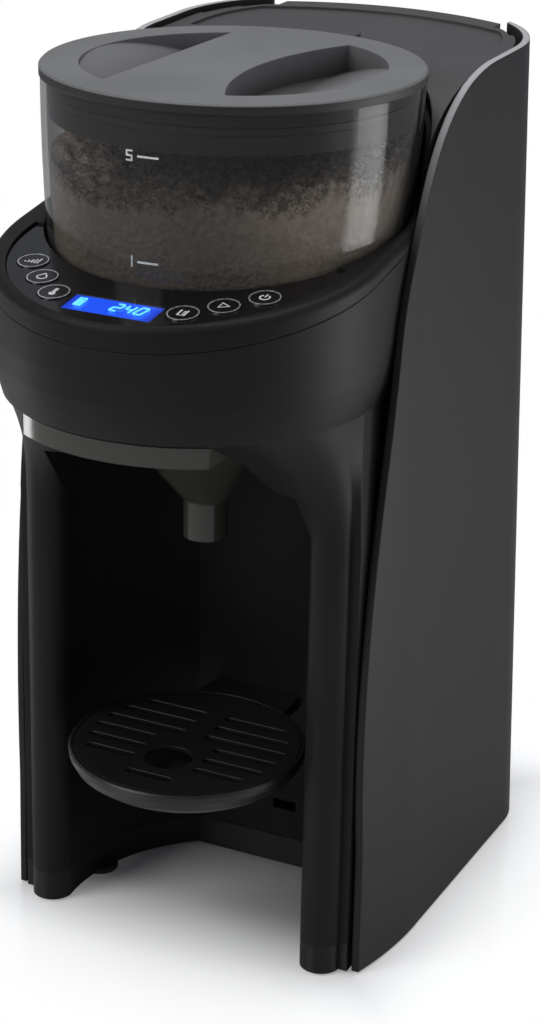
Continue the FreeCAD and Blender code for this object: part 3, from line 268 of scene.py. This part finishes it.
# Metals, rubber, board
brushFacts = {"lines": 320.0, "darker": 0.82, "roughSpread": 0.18, "bump": 0.1, "bumpDepth": 0.0001,
              "edge": 0.0003}
rubberFacts = {"mottle": 60.0, "fine": 1200.0, "darker": 0.85, "roughSpread": 0.1, "bump": 0.2,
               "bumpDepth": 0.0002, "edge": 0.0005}


def brushed(name, colour, rough, stretch):
    facts = brushFacts
    look = Look(name)
    lines = look.grain(facts["lines"], 3.0, stretch)
    look.set(Base_Color=look.mix(lines, tuple(c * facts["darker"] for c in colour), colour),
             Roughness=lines * facts["roughSpread"] + rough,
             Normal=look.bump(lines, facts["bump"], facts["bumpDepth"], look.soft(facts["edge"])))
    look.shader.inputs["Metallic"].default_value = 1.0
    return look


def rubber(name, colour, rough):
    facts = rubberFacts
    look = Look(name)
    mottle = look.grain(facts["mottle"], 4.0)
    fine = look.grain(facts["fine"])
    look.set(Base_Color=look.mix(mottle, tuple(c * facts["darker"] for c in colour), colour),
             Roughness=mottle * facts["roughSpread"] + rough,
             Normal=look.bump(fine, facts["bump"], facts["bumpDepth"], look.soft(facts["edge"])))
    return look


steelLook = brushed("plainSteel", (0.52, 0.52, 0.53), 0.26, (1.0, 1.0, 9.0))
padLook = rubber("softPads", (0.018, 0.018, 0.018), 0.7)
hoseLook = rubber("hoseSilicone", (0.56, 0.56, 0.54), 0.35)
for nodeName in ("drive_hub", "motor_pinion", "idler_pin", "drive_motor", "pan_screws",
                 "tank_hinge_pin", "water_heater"):
    wear(nodeName, steelLook)
wear("feet", padLook)
for nodeName in ("suction_hose", "feed_hose", "outlet_hose", "water_nozzle"):
    wear(nodeName, hoseLook)
wear("lid_seal", rubber("darkSeal", (0.02, 0.024, 0.026), 0.4))

boardFacts = {"dark": (0.008, 0.07, 0.03), "light": (0.01, 0.09, 0.035), "track": (0.03, 0.16, 0.06),
              "scale": 160.0, "rough": 0.4}
boardLook = Look("circuitBoard")
tracks = boardLook.node("ShaderNodeTexBrick", None, {
    "Vector": boardLook.place(), "Color1": boardFacts["dark"], "Color2": boardFacts["light"],
    "Mortar": boardFacts["track"], "Scale": boardFacts["scale"]})
boardLook.set(Base_Color=tracks, Roughness=boardFacts["rough"])
wear("control_board", boardLook)


# Control panel gloss
glossFacts = {"smear": 45.0, "span": (0.3, 0.75), "rough": (0.07, 0.14),
              "dark": (0.0045, 0.0045, 0.005), "light": (0.0075, 0.0075, 0.0085), "edge": 0.0004}
panelLook = Look("panelGloss")
smear = panelLook.grain(glossFacts["smear"], 4.0)
panelLook.set(Base_Color=panelLook.mix(smear, glossFacts["dark"], glossFacts["light"]),
              Roughness=smear.fade(*glossFacts["span"], *glossFacts["rough"]),
              Normal=panelLook.soft(glossFacts["edge"]))
wear("control_panel", panelLook)


# Clear and smoky plastic
clearPlastics = {
    "smokyContainer": {"colour": (0.05, 0.048, 0.046), "clear": 0.74, "edge": 0.75, "rough": 0.08},
    "oliveFunnel": {"colour": (0.052, 0.053, 0.042), "clear": 0.12, "edge": 0.97, "rough": 0.14},
    "smokyTank": {"colour": (0.04, 0.042, 0.045), "clear": 0.6, "edge": 0.85, "rough": 0.12},
}
hazeFacts = {"blend": 0.35, "edgeFrom": 0.1, "haze": 30.0, "darker": 0.85, "share": 0.03,
             "span": (0.3, 0.8), "roughSpread": 0.05, "index": 1.5}


def smoky(name):    # alpha grows where the wall is seen edge on
    facts = clearPlastics[name]
    colour, rough = facts["colour"], facts["rough"]
    darker = tuple(part * hazeFacts["darker"] for part in colour)
    look = Look(name)
    grazing = look.node("ShaderNodeLayerWeight", None, {"Blend": hazeFacts["blend"]}, output=1)
    haze = look.grain(hazeFacts["haze"], 3.0)
    cover = grazing.fade(hazeFacts["edgeFrom"], 1.0, 1.0 - facts["clear"], facts["edge"])
    look.set(Base_Color=look.mix(haze, darker, colour),
             Alpha=(cover + haze * hazeFacts["share"]).least(1.0),
             Roughness=haze.fade(*hazeFacts["span"], rough, rough + hazeFacts["roughSpread"]))
    look.shader.inputs["IOR"].default_value = hazeFacts["index"]
    return look


wear("powder_container", smoky("smokyContainer"))
funnelLook = smoky("oliveFunnel")
wear("funnel", funnelLook)
wear("funnel_cover", funnelLook)
wear("water_tank", smoky("smokyTank"))
print("clear plastics done")


# Mesh helpers
def piece(name, verts, faces, look, body, smooth=False):
    mesh = bpy.data.meshes.new(name)
    mesh.from_pydata([tuple(v) for v in verts], [], faces)
    mesh.validate()
    work = bmesh.new()
    work.from_mesh(mesh)
    bmesh.ops.recalc_face_normals(work, faces=work.faces)
    work.to_mesh(mesh)
    work.free()
    if smooth:
        mesh.polygons.foreach_set("use_smooth", [True] * len(mesh.polygons))
    thing = bpy.data.objects.new(name, mesh)
    bpy.context.scene.collection.objects.link(thing)
    mesh.materials.append(look.material)
    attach(thing, body)


class Bits:    # gathers closed solids into one mesh
    def __init__(self):
        self.verts = []
        self.faces = []

    def add(self, verts, faces):
        start = len(self.verts)
        self.verts += verts
        self.faces += [tuple(start + k for k in face) for face in faces]

    def loft(self, rings, closed=False):    # rings of the same length, joined one to the next
        count = len(rings[0])
        faces = []
        spans = len(rings) if closed else len(rings) - 1
        for r in range(spans):
            a, b = r * count, (r + 1) % len(rings) * count
            for k in range(count):
                j = (k + 1) % count
                faces.append((a + k, a + j, b + j, b + k))
        if not closed:
            last = (len(rings) - 1) * count
            faces += [tuple(range(count - 1, -1, -1)), tuple(last + k for k in range(count))]
        self.add([v for ring in rings for v in ring], faces)


# Powder in the container
powderFacts = {
    "floor": 0.2925, "radius": 0.0749, "taper": 0.0066, "top": 0.362, "bottom": 0.282, "front": 0.103,
    "wall": 0.0027, "level": 0.3265, "around": 220, "steps": 52, "wallSteps": 8, "wallGap": 0.008,
    "mound": 0.003, "moundScale": 22, "lumps": 0.0045, "lumpScale": 110, "right": 0.09,
    "backRise": 0.013, "backStart": 0.085, "backLean": 0.35, "backLong": 0.11,
    "rimInset": 0.0001, "middleHole": 0.004, "crowd": 1.15,
}
powderShades = {
    "pressed": ((0.24, 0.195, 0.152), (0.34, 0.285, 0.232)), "pressedSpan": (0.3, 0.7),
    "loose": ((0.085, 0.066, 0.05), (0.33, 0.27, 0.215)), "looseSpan": (0.42, 0.62),
    "upwardSpan": (0.15, 0.5),
    # painted light: the powder is painted lighter towards the cup's sides, up to 3.4 times
    "sides": 3.4, "sideLightFrom": 0.012, "sideLightTo": 0.056, "clump": 300.0, "speck": 1100.0, "cells": 480.0,
    "bump": 0.8, "bumpDepth": 0.0018, "rough": 0.85, "shine": 0.15,
}


def containerRadius(z):
    facts = powderFacts
    share = (facts["top"] - z) / (facts["top"] - facts["bottom"])
    return facts["radius"] - facts["taper"] * share * abs(share)


def powderTop(x, y):    # ragged, a little higher at the right front, heaped at the back left
    facts = powderFacts
    scale, fineScale = facts["moundScale"], facts["lumpScale"]
    broad = noise.noise(Vector((x * scale, y * scale, 1.7))) * facts["mound"]
    fine = noise.fractal(Vector((x * fineScale, y * fineScale, 4.0)), 0.7, 2.2, 5) * facts["lumps"]
    back = max(0.0, min(1.0, (y + facts["backStart"] - x * facts["backLean"]) / facts["backLong"]))
    right = max(0.0, x) * facts["right"]
    return facts["level"] + broad + fine + right + facts["backRise"] * back * back * (3 - 2 * back)


def powderLook():
    facts = powderShades
    look = Look("milkPowder")
    clump = look.grain(facts["clump"], 6.0)
    speck = look.grain(facts["speck"], 4.0)
    cells = look.node("ShaderNodeTexVoronoi", None, {"Vector": look.place(), "Scale": facts["cells"]})
    upward = facing(look)[2].fade(*facts["upwardSpan"])
    pressed = look.mix((clump * 0.6 + speck * 0.4).fade(*facts["pressedSpan"]), *facts["pressed"])
    loose = look.mix((clump * 0.5 + speck * 0.5).fade(*facts["looseSpan"]), *facts["loose"])
    x, y, z = look.axes()
    sides = (x * x).fade(facts["sideLightFrom"] ** 2, facts["sideLightTo"] ** 2)    # painted light: lighter towards the cup's sides
    paintedSideLight = look.mix(sides, (1.0, 1.0, 1.0), (facts["sides"],) * 3)
    shade = look.node("ShaderNodeMix", {"data_type": "RGBA", "blend_type": "MULTIPLY"},
                      {0: 1.0, 6: look.mix(upward, pressed, loose), 7: paintedSideLight}, output=2)
    look.set(Base_Color=shade, Roughness=clump * 0.1 + facts["rough"],
             Normal=look.bump(cells * 0.5 + clump, facts["bump"], facts["bumpDepth"]))
    look.shader.inputs["Specular IOR Level"].default_value = facts["shine"]
    return look


def powderFill():
    facts = powderFacts
    around = facts["around"]
    level = facts["level"]
    rings = []

    def ringAt(z, inset, follow):
        radius = containerRadius(z) - facts["wall"] - inset
        centre = containerRadius(z) - facts["front"]
        ring = []
        for k in range(around):
            angle = 2 * math.pi * k / around
            x, y = radius * math.cos(angle), centre + radius * math.sin(angle)
            ring.append((x, y, powderTop(x, y) if follow else z))
        return ring

    rise = level - facts["wallGap"] - facts["floor"]
    for step in range(facts["wallSteps"] + 1):
        rings.append(ringAt(facts["floor"] + rise * step / facts["wallSteps"], 0.0, False))
    reach = containerRadius(level) - facts["middleHole"]
    for step in range(facts["steps"]):
        share = (step / (facts["steps"] - 1)) ** facts["crowd"]
        rings.append(ringAt(level, facts["rimInset"] + reach * share, True))
    bits = Bits()
    bits.loft(rings)
    piece("powder_fill", bits.verts, bits.faces, powderLook(), "container", smooth=True)


powderFill()
print("powder done")


# Printed level lines on the container
printFacts = {"grain": 700.0, "span": (0.3, 0.6), "worn": (0.7, 0.7, 0.7), "fresh": (0.86, 0.86, 0.86),
              "rough": 0.4, "roughSpread": 0.2}
whitePrint = Look("whitePrint")
worn = whitePrint.grain(printFacts["grain"], 3.0)
printed = whitePrint.mix(worn.fade(*printFacts["span"]), printFacts["worn"], printFacts["fresh"])
whitePrint.set(Base_Color=printed, Roughness=worn * printFacts["roughSpread"] + printFacts["rough"])

levelFacts = {
    "lines": ((0.3445, "5"), (0.3045, "1")), "dash": 0.0086, "dashParts": 4, "thick": 0.00075,
    "under": 0.00002, "proud": 0.00025, "clear": 0.0001, "right": 0.0075,
    "height": 0.0036, "digitWide": 0.0022, "digitGap": 0.0046, "digitHalf": 0.42,
}
digitBars = {    # ends of each bar, in digit widths and heights
    "top": ((0, 1), (1, 1)), "middle": ((0, 0.5), (1, 0.5)), "bottom": ((0, 0), (1, 0)),
    "upLeft": ((0, 0.5), (0, 1)), "upRight": ((1, 0.5), (1, 1)),
    "lowLeft": ((0, 0), (0, 0.5)), "lowRight": ((1, 0), (1, 0.5)),
}
digitShapes = {
    "0": ("top", "bottom", "upLeft", "upRight", "lowLeft", "lowRight"),
    "1": ("upRight", "lowRight"),
    "2": ("top", "middle", "bottom", "upRight", "lowLeft"),
    "4": ("middle", "upLeft", "upRight", "lowRight"),
    "5": ("top", "middle", "bottom", "upLeft", "lowRight"),
}


def barOutline(start, end, half):    # a bar with pointed ends
    start, end = Vector(start), Vector(end)
    along = (end - start).normalized()
    side = Vector((-along.y, along.x)) * half
    return [start, start + along * half + side, end - along * half + side, end,
            end - along * half - side, start + along * half - side]


def squareBar(start, end, half):    # a bar that reaches past its ends by half its width
    start, end = Vector(start), Vector(end)
    along = (end - start).normalized() * half
    side = Vector((-along.y, along.x))
    return [start - along + side, end + along + side, end + along - side, start - along - side]


def onContainer(x, z, proud):
    radius = containerRadius(z) + levelFacts["clear"] + proud
    centre = containerRadius(z) - powderFacts["front"]
    return Vector((x, centre - math.sqrt(max(radius * radius - x * x, 0.0)), z))


def levelLines():
    facts = levelFacts
    bits = Bits()

    def plate(outline):
        bits.loft([[onContainer(p[0], p[1], facts["under"]) for p in outline],
                   [onContainer(p[0], p[1], facts["proud"]) for p in outline]])

    half = facts["thick"] / 2
    right, length, parts = facts["right"], facts["dash"], facts["dashParts"]
    wide, high = facts["digitWide"], facts["height"]
    left = right - length - facts["digitGap"]
    for z, digit in facts["lines"]:
        for k in range(parts):
            a, b = right - length * (parts - k) / parts, right - length * (parts - 1 - k) / parts
            plate([(a, z - half), (b, z - half), (b, z + half), (a, z + half)])
        for bar in digitShapes[digit]:
            (ax, az), (bx, bz) = digitBars[bar]
            start = (left + ax * wide, z + (az - 0.5) * high)
            end = (left + bx * wide, z + (bz - 0.5) * high)
            plate(squareBar(start, end, facts["thick"] * facts["digitHalf"]))
    piece("level_lines", bits.verts, bits.faces, whitePrint, "container")


levelLines()
print("level lines done")


# Panel plane: icons, rings and the lit display
panelFacts = {"front": -0.139, "height": 0.2903, "tilt": math.radians(8.5)}
panelUp = Vector((0.0, -math.sin(panelFacts["tilt"]), math.cos(panelFacts["tilt"])))


def onPanel(x, y, lift):
    z = panelFacts["height"] + (y - panelFacts["front"]) * math.tan(panelFacts["tilt"])
    return Vector((x, y, z)) + panelUp * lift


buttons = {
    "strength": (-0.0493, -0.0979), "water_only": (-0.0384, -0.1095), "temperature": (-0.0271, -0.1201),
    "unit": (0.0271, -0.1201), "start": (0.0384, -0.1095), "power": (0.0493, -0.0979),
}
iconFacts = {
    "line": 0.00042, "low": 0.00047, "high": 0.00062, "ringIn": 0.0056, "ringOut": 0.0061, "ringSteps": 48,
    "bars": 5, "barFirst": -0.0026, "barStep": 0.0013, "barFoot": -0.002, "barTop": -0.0012,
    "barRise": 0.0009,
    "dropSteps": 24, "dropRadius": 0.0019, "dropPinch": 0.75, "dropTall": 0.6, "dropDown": 0.0004,
    "bulb": (0.0, -0.0016), "bulbRadius": 0.00085, "bulbSteps": 16, "stemFoot": -0.001, "stemTop": 0.0028,
    "cupHalf": 0.0014, "cupTall": 0.0021, "cupMarks": 3, "markFirst": -0.001, "markStep": 0.0011,
    "arrow": ((-0.0014, -0.002), (0.0023, 0.0), (-0.0014, 0.002)),
    "power": (0.0, -0.0001), "powerRadius": 0.0019, "powerFrom": 125, "powerTo": 415, "powerSteps": 24,
    "powerFoot": 0.0002, "powerTop": 0.0026,
}


def strokeOutline(points, half, closed=False):    # left and right sides of a drawn line
    points = [Vector(p) for p in points]
    count = len(points)
    sides = []
    for k, point in enumerate(points):
        before = points[k - 1] if closed or k else point
        after = points[(k + 1) % count] if closed or k < count - 1 else point
        along = (after - before).normalized()
        across = Vector((-along.y, along.x)) * half
        sides.append((point + across, point - across))
    return sides


class Drawing:    # flat raised marks on the panel plane, about one middle
    def __init__(self, middle, low, high):
        self.middle = middle
        self.low = low
        self.high = high
        self.bits = Bits()

    def at(self, point, lift):
        return onPanel(self.middle[0] + point[0], self.middle[1] + point[1], lift)

    def area(self, outline):
        self.bits.loft([[self.at(p, self.low) for p in outline], [self.at(p, self.high) for p in outline]])

    def stroke(self, points, half, closed=False):
        sides = strokeOutline(points, half, closed)
        rings = []
        for left, right in sides:
            rings.append([self.at(left, self.low), self.at(right, self.low), self.at(right, self.high),
                          self.at(left, self.high)])
        self.bits.loft(rings, closed)

    def curve(self, middle, radius, start, end, half, steps=20):
        points = []
        closed = abs(end - start) >= 360
        for k in range(steps + (0 if closed else 1)):
            angle = math.radians(start + (end - start) * k / steps)
            points.append((middle[0] + radius * math.cos(angle), middle[1] + radius * math.sin(angle)))
        self.stroke(points, half, closed)


def dropOutline(facts):
    outline = []
    radius = facts["dropRadius"]
    for k in range(facts["dropSteps"]):
        angle = math.radians(90 + 360 / facts["dropSteps"] * k)
        pull = max(0.0, math.sin(angle)) ** 3
        outline.append((radius * math.cos(angle) * (1 - facts["dropPinch"] * pull),
                        radius * math.sin(angle) * (1 + facts["dropTall"] * pull) - facts["dropDown"]))
    return outline


def drawIcon(mark, name, facts):
    half = facts["line"]
    cup, tall = facts["cupHalf"], facts["cupTall"]
    if name == "strength":
        for k in range(facts["bars"]):
            a = facts["barFirst"] + facts["barStep"] * k - half * 0.8
            b = facts["barFirst"] + facts["barStep"] * k + half * 0.8
            foot, top = facts["barFoot"], facts["barTop"] + facts["barRise"] * k
            mark.area([(a, foot), (b, foot), (b, top), (a, top)])
    elif name == "water_only":
        mark.stroke(dropOutline(facts), half * 0.7, True)
    elif name == "temperature":
        mark.curve(facts["bulb"], facts["bulbRadius"], 0, 360, half * 1.1, facts["bulbSteps"])
        mark.stroke([(0.0, facts["stemFoot"]), (0.0, facts["stemTop"])], half * 1.6)
    elif name == "unit":
        mark.stroke([(-cup, tall), (-cup, -tall), (cup, -tall), (cup, tall)], half * 0.8)
        for k in range(facts["cupMarks"]):
            y = facts["markFirst"] + facts["markStep"] * k
            mark.stroke([(0.0, y), (cup, y)], half * 0.6)
    elif name == "start":
        mark.stroke(facts["arrow"], half * 0.8, True)
    else:
        mark.curve(facts["power"], facts["powerRadius"], facts["powerFrom"], facts["powerTo"], half * 0.8,
                   facts["powerSteps"])
        mark.stroke([(0.0, facts["powerFoot"]), (0.0, facts["powerTop"])], half * 0.8)


def drawIcons():
    facts = iconFacts
    ringMiddle = (facts["ringIn"] + facts["ringOut"]) / 2
    ringHalf = (facts["ringOut"] - facts["ringIn"]) / 2
    for name, middle in buttons.items():
        body = name + "_button_body"
        mark = Drawing(middle, facts["low"], facts["high"])
        drawIcon(mark, name, facts)
        piece(name + "_icon", mark.bits.verts, mark.bits.faces, whitePrint, body)
        ring = Drawing(middle, facts["low"], facts["high"])
        ring.curve((0.0, 0.0), ringMiddle, 0, 360, ringHalf, facts["ringSteps"])
        piece(name + "_ring", ring.bits.verts, ring.bits.faces, ringLook, body)


ringFacts = {"grain": 500.0, "dark": (0.55, 0.56, 0.58), "light": (0.78, 0.79, 0.8), "rough": 0.2,
             "roughSpread": 0.15, "metal": 0.6}
ringLook = Look("silverRing")
ringShine = ringLook.grain(ringFacts["grain"], 2.0)
ringLook.set(Base_Color=ringLook.mix(ringShine, ringFacts["dark"], ringFacts["light"]),
             Roughness=ringShine * ringFacts["roughSpread"] + ringFacts["rough"])
ringLook.shader.inputs["Metallic"].default_value = ringFacts["metal"]
drawIcons()
print("icons done")


# Lit display
displayFacts = {
    "middle": (0.0, -0.1242), "halfLong": 0.0178, "under": 0.0002, "thick": 0.00045, "glow": 1.0,
    "digits": "240", "digit": (0.0030, 0.0056), "slant": 0.25, "stroke": 0.00026,
    "first": 0.0006, "step": 0.0050,
    "gaugeLeft": -0.0148, "gaugeRight": -0.0122, "gaugeHalf": 0.003, "gaugeLine": 0.0003,
    "rungs": 4, "rungLeft": -0.0145, "rungRight": -0.0128, "rungFirst": -0.0024, "rungStep": 0.0012,
    "rungTall": 0.0006,
}
displayShades = {
    "base": (0.002, 0.01, 0.1), "blueDark": (0.005, 0.03, 0.42), "blueLight": (0.012, 0.085, 0.9),
    "rough": 0.08, "digitBase": (0.05, 0.2, 0.3), "cyanDark": (0.1, 0.62, 0.9), "cyanLight": (0.2, 0.8, 1.0),
    "edgeSpan": (-0.1, 0.5), "cells": 60.0, "flicker": 900.0,
}


def displayLooks():
    facts, shades = displayFacts, displayShades
    glow = Look("blueDisplay")
    x, y, z = glow.axes()
    edge = (1.0 - (x / facts["halfLong"]) * (x / facts["halfLong"])).fade(*shades["edgeSpan"])
    cell = glow.grain(shades["cells"], 2.0)
    blue = glow.mix(edge * 0.75 + cell * 0.3, shades["blueDark"], shades["blueLight"])
    glow.set(Base_Color=shades["base"], Emission_Color=blue, Roughness=shades["rough"])
    digits = Look("cyanDigits")
    flicker = digits.grain(shades["flicker"], 2.0)
    digits.set(Base_Color=shades["digitBase"],
               Emission_Color=digits.mix(flicker, shades["cyanDark"], shades["cyanLight"]))
    for look in (glow, digits):
        look.shader.inputs["Emission Strength"].default_value = facts["glow"]
    return glow, digits


def litDisplay():
    facts = displayFacts
    glow, digits = displayLooks()
    wear("display_window", glow)
    drawing = Drawing(facts["middle"], facts["under"], facts["under"] + facts["thick"])
    wide, high = facts["digit"]
    for k, digit in enumerate(facts["digits"]):
        left = facts["first"] + facts["step"] * k
        for bar in digitShapes[digit]:
            ends = []
            for ax, ay in digitBars[bar]:
                y = (ay - 0.5) * high
                ends.append((left + ax * wide + y * facts["slant"], y))
            drawing.area(barOutline(ends[0], ends[1], facts["stroke"]))
    a, b, half = facts["gaugeLeft"], facts["gaugeRight"], facts["gaugeHalf"]
    drawing.stroke([(a, half), (a, -half), (b, -half), (b, half)], facts["gaugeLine"], True)
    a, b = facts["rungLeft"], facts["rungRight"]
    for k in range(facts["rungs"]):
        foot = facts["rungFirst"] + facts["rungStep"] * k
        top = foot + facts["rungTall"]
        drawing.area([(a, foot), (b, foot), (b, top), (a, top)])
    piece("display_digits", drawing.bits.verts, drawing.bits.faces, digits, "machine")


litDisplay()
print("display done")


# Stage, lights and camera
stageFacts = {
    "place": (0.4378, -0.8980, 0.5648), "turn": 25.67, "pitch": 21.61, "roll": 1.16,
    "lens": 88.85, "sensor": 36.0, "nearest": 0.05, "worldColour": (0.9, 0.93, 1.0, 1), "worldLevel": 0.3,
}
floorFacts = {
    "half": 9.0, "scuff": 3.0, "dark": (0.90, 0.90, 0.90), "light": (0.94, 0.94, 0.94),
    "span": (0.2, 0.9), "rough": (0.12, 0.18), "coatIndex": 1.8, "coatRough": 0.06, "legFront": -0.075,
    "lift": 0.6, "liftFrom": -0.045, "liftTo": 0.03, "fadeFrom": 0.0, "fadeTo": 0.075,
}


def camera():
    facts = stageFacts
    turn, pitch, roll = (math.radians(facts[key]) for key in ("turn", "pitch", "roll"))
    back = Vector((math.sin(turn) * math.cos(pitch), -math.cos(turn) * math.cos(pitch), math.sin(pitch)))
    right = Vector((math.cos(turn), math.sin(turn), 0.0))
    up = back.cross(right)
    rolledRight = right * math.cos(roll) + up * math.sin(roll)
    rolledUp = up * math.cos(roll) - right * math.sin(roll)
    data = bpy.data.cameras.new("photoCamera")
    data.lens = facts["lens"]
    data.sensor_fit = "VERTICAL"
    data.sensor_height = facts["sensor"]
    data.clip_start = facts["nearest"]
    thing = bpy.data.objects.new("photoCamera", data)
    matrix = Matrix((rolledRight, rolledUp, back)).transposed().to_4x4()
    matrix.translation = Vector(facts["place"])
    thing.matrix_world = matrix
    bpy.context.scene.collection.objects.link(thing)
    bpy.context.scene.camera = thing


def floorLook():    # the camera sees it fade to white away from the machine
    facts = floorFacts
    look = Look("paleFloor")
    scuff = look.grain(facts["scuff"], 3.0)
    look.set(Base_Color=look.mix(scuff, facts["dark"], facts["light"]),
             Roughness=scuff.fade(*facts["span"], *facts["rough"]))
    seen = look.node("ShaderNodeLightPath")
    x, y, z = look.axes()
    beside = x.maths("ABSOLUTE", 0.0) - cadHigh[0]    # how far outside the footprint a point lies
    outside = beside.most(facts["legFront"] - y).most(y - cadHigh[1])
    lift = outside.fade(facts["liftFrom"], facts["liftTo"])
    look.set(Emission_Color=look.mix(lift * seen, (0.0, 0.0, 0.0), (facts["lift"],) * 3))
    look.shader.inputs["Emission Strength"].default_value = 1.0
    look.shader.inputs["Coat Weight"].default_value = 1.0
    look.shader.inputs["Coat IOR"].default_value = facts["coatIndex"]
    look.shader.inputs["Coat Roughness"].default_value = facts["coatRough"]
    away = outside.fade(facts["fadeFrom"], facts["fadeTo"])
    white = look.node("ShaderNodeEmission", None, {"Color": (1.0, 1.0, 1.0), "Strength": 1.0})
    floor = Value(look, look.shader.outputs[0])
    blend = look.node("ShaderNodeMixShader", None, {0: away * seen, 1: floor, 2: white})
    look.tree.links.new(blend.socket, look.tree.nodes["Material Output"].inputs["Surface"])
    return look


def paleFloor():
    half = floorFacts["half"]
    corners = [(-half, -half, 0), (half, -half, 0), (half, half, 0), (-half, half, 0)]
    mesh = bpy.data.meshes.new("paleFloor")
    mesh.from_pydata(corners, [], [(0, 1, 2, 3)])
    floor = bpy.data.objects.new("paleFloor", mesh)
    bpy.context.scene.collection.objects.link(floor)
    mesh.materials.append(floorLook().material)


lamps = {    # place, aim, width, height, watts, whether it lights matt surfaces
    "keyLeft": ((-0.9, -1.3, 1.3), (0.0, -0.05, 0.2), 0.9, 1.1, 13.0, True),
    "sideRight": ((1.5, 0.1, 0.7), (0.0, 0.0, 0.2), 0.5, 1.4, 2.2, True),
    "cupGlint": ((0.62, 0.24, 0.12), (0.07, -0.05, 0.33), 0.3, 0.42, 2.4, False),
    "lowLeft": ((-0.5, -0.11, 0.06), (-0.04, -0.12, 0.24), 0.07, 0.1, 0.16, False),
    "overhead": ((0.0, 0.35, 1.7), (0.0, 0.0, 0.3), 1.2, 0.9, 12.0, True),
}


def studio():
    for name, (place, aim, wide, high, watts, matt) in lamps.items():
        data = bpy.data.lights.new(name, "AREA")
        data.shape = "RECTANGLE"
        data.size, data.size_y, data.energy = wide, high, watts
        lamp = bpy.data.objects.new(name, data)
        lamp.location = place
        lamp.visible_diffuse = matt
        lamp.rotation_euler = (Vector(aim) - Vector(place)).to_track_quat("-Z", "Y").to_euler()
        bpy.context.scene.collection.objects.link(lamp)
    world = bpy.data.worlds.new("softRoom")
    bpy.context.scene.world = world
    world.use_nodes = True
    tree = world.node_tree
    tree.nodes.clear()
    out = tree.nodes.new("ShaderNodeOutputWorld")
    shown = tree.nodes.new("ShaderNodeBackground")
    lit = tree.nodes.new("ShaderNodeBackground")
    mixer = tree.nodes.new("ShaderNodeMixShader")
    path = tree.nodes.new("ShaderNodeLightPath")
    shown.inputs[0].default_value = (1, 1, 1, 1)
    lit.inputs[0].default_value = stageFacts["worldColour"]
    lit.inputs[1].default_value = stageFacts["worldLevel"]
    tree.links.new(path.outputs["Is Camera Ray"], mixer.inputs[0])
    tree.links.new(lit.outputs[0], mixer.inputs[1])
    tree.links.new(shown.outputs[0], mixer.inputs[2])
    tree.links.new(mixer.outputs[0], out.inputs[0])


camera()
paleFloor()
studio()
bpy.context.scene.view_settings.view_transform = "Standard"
print("stage done")
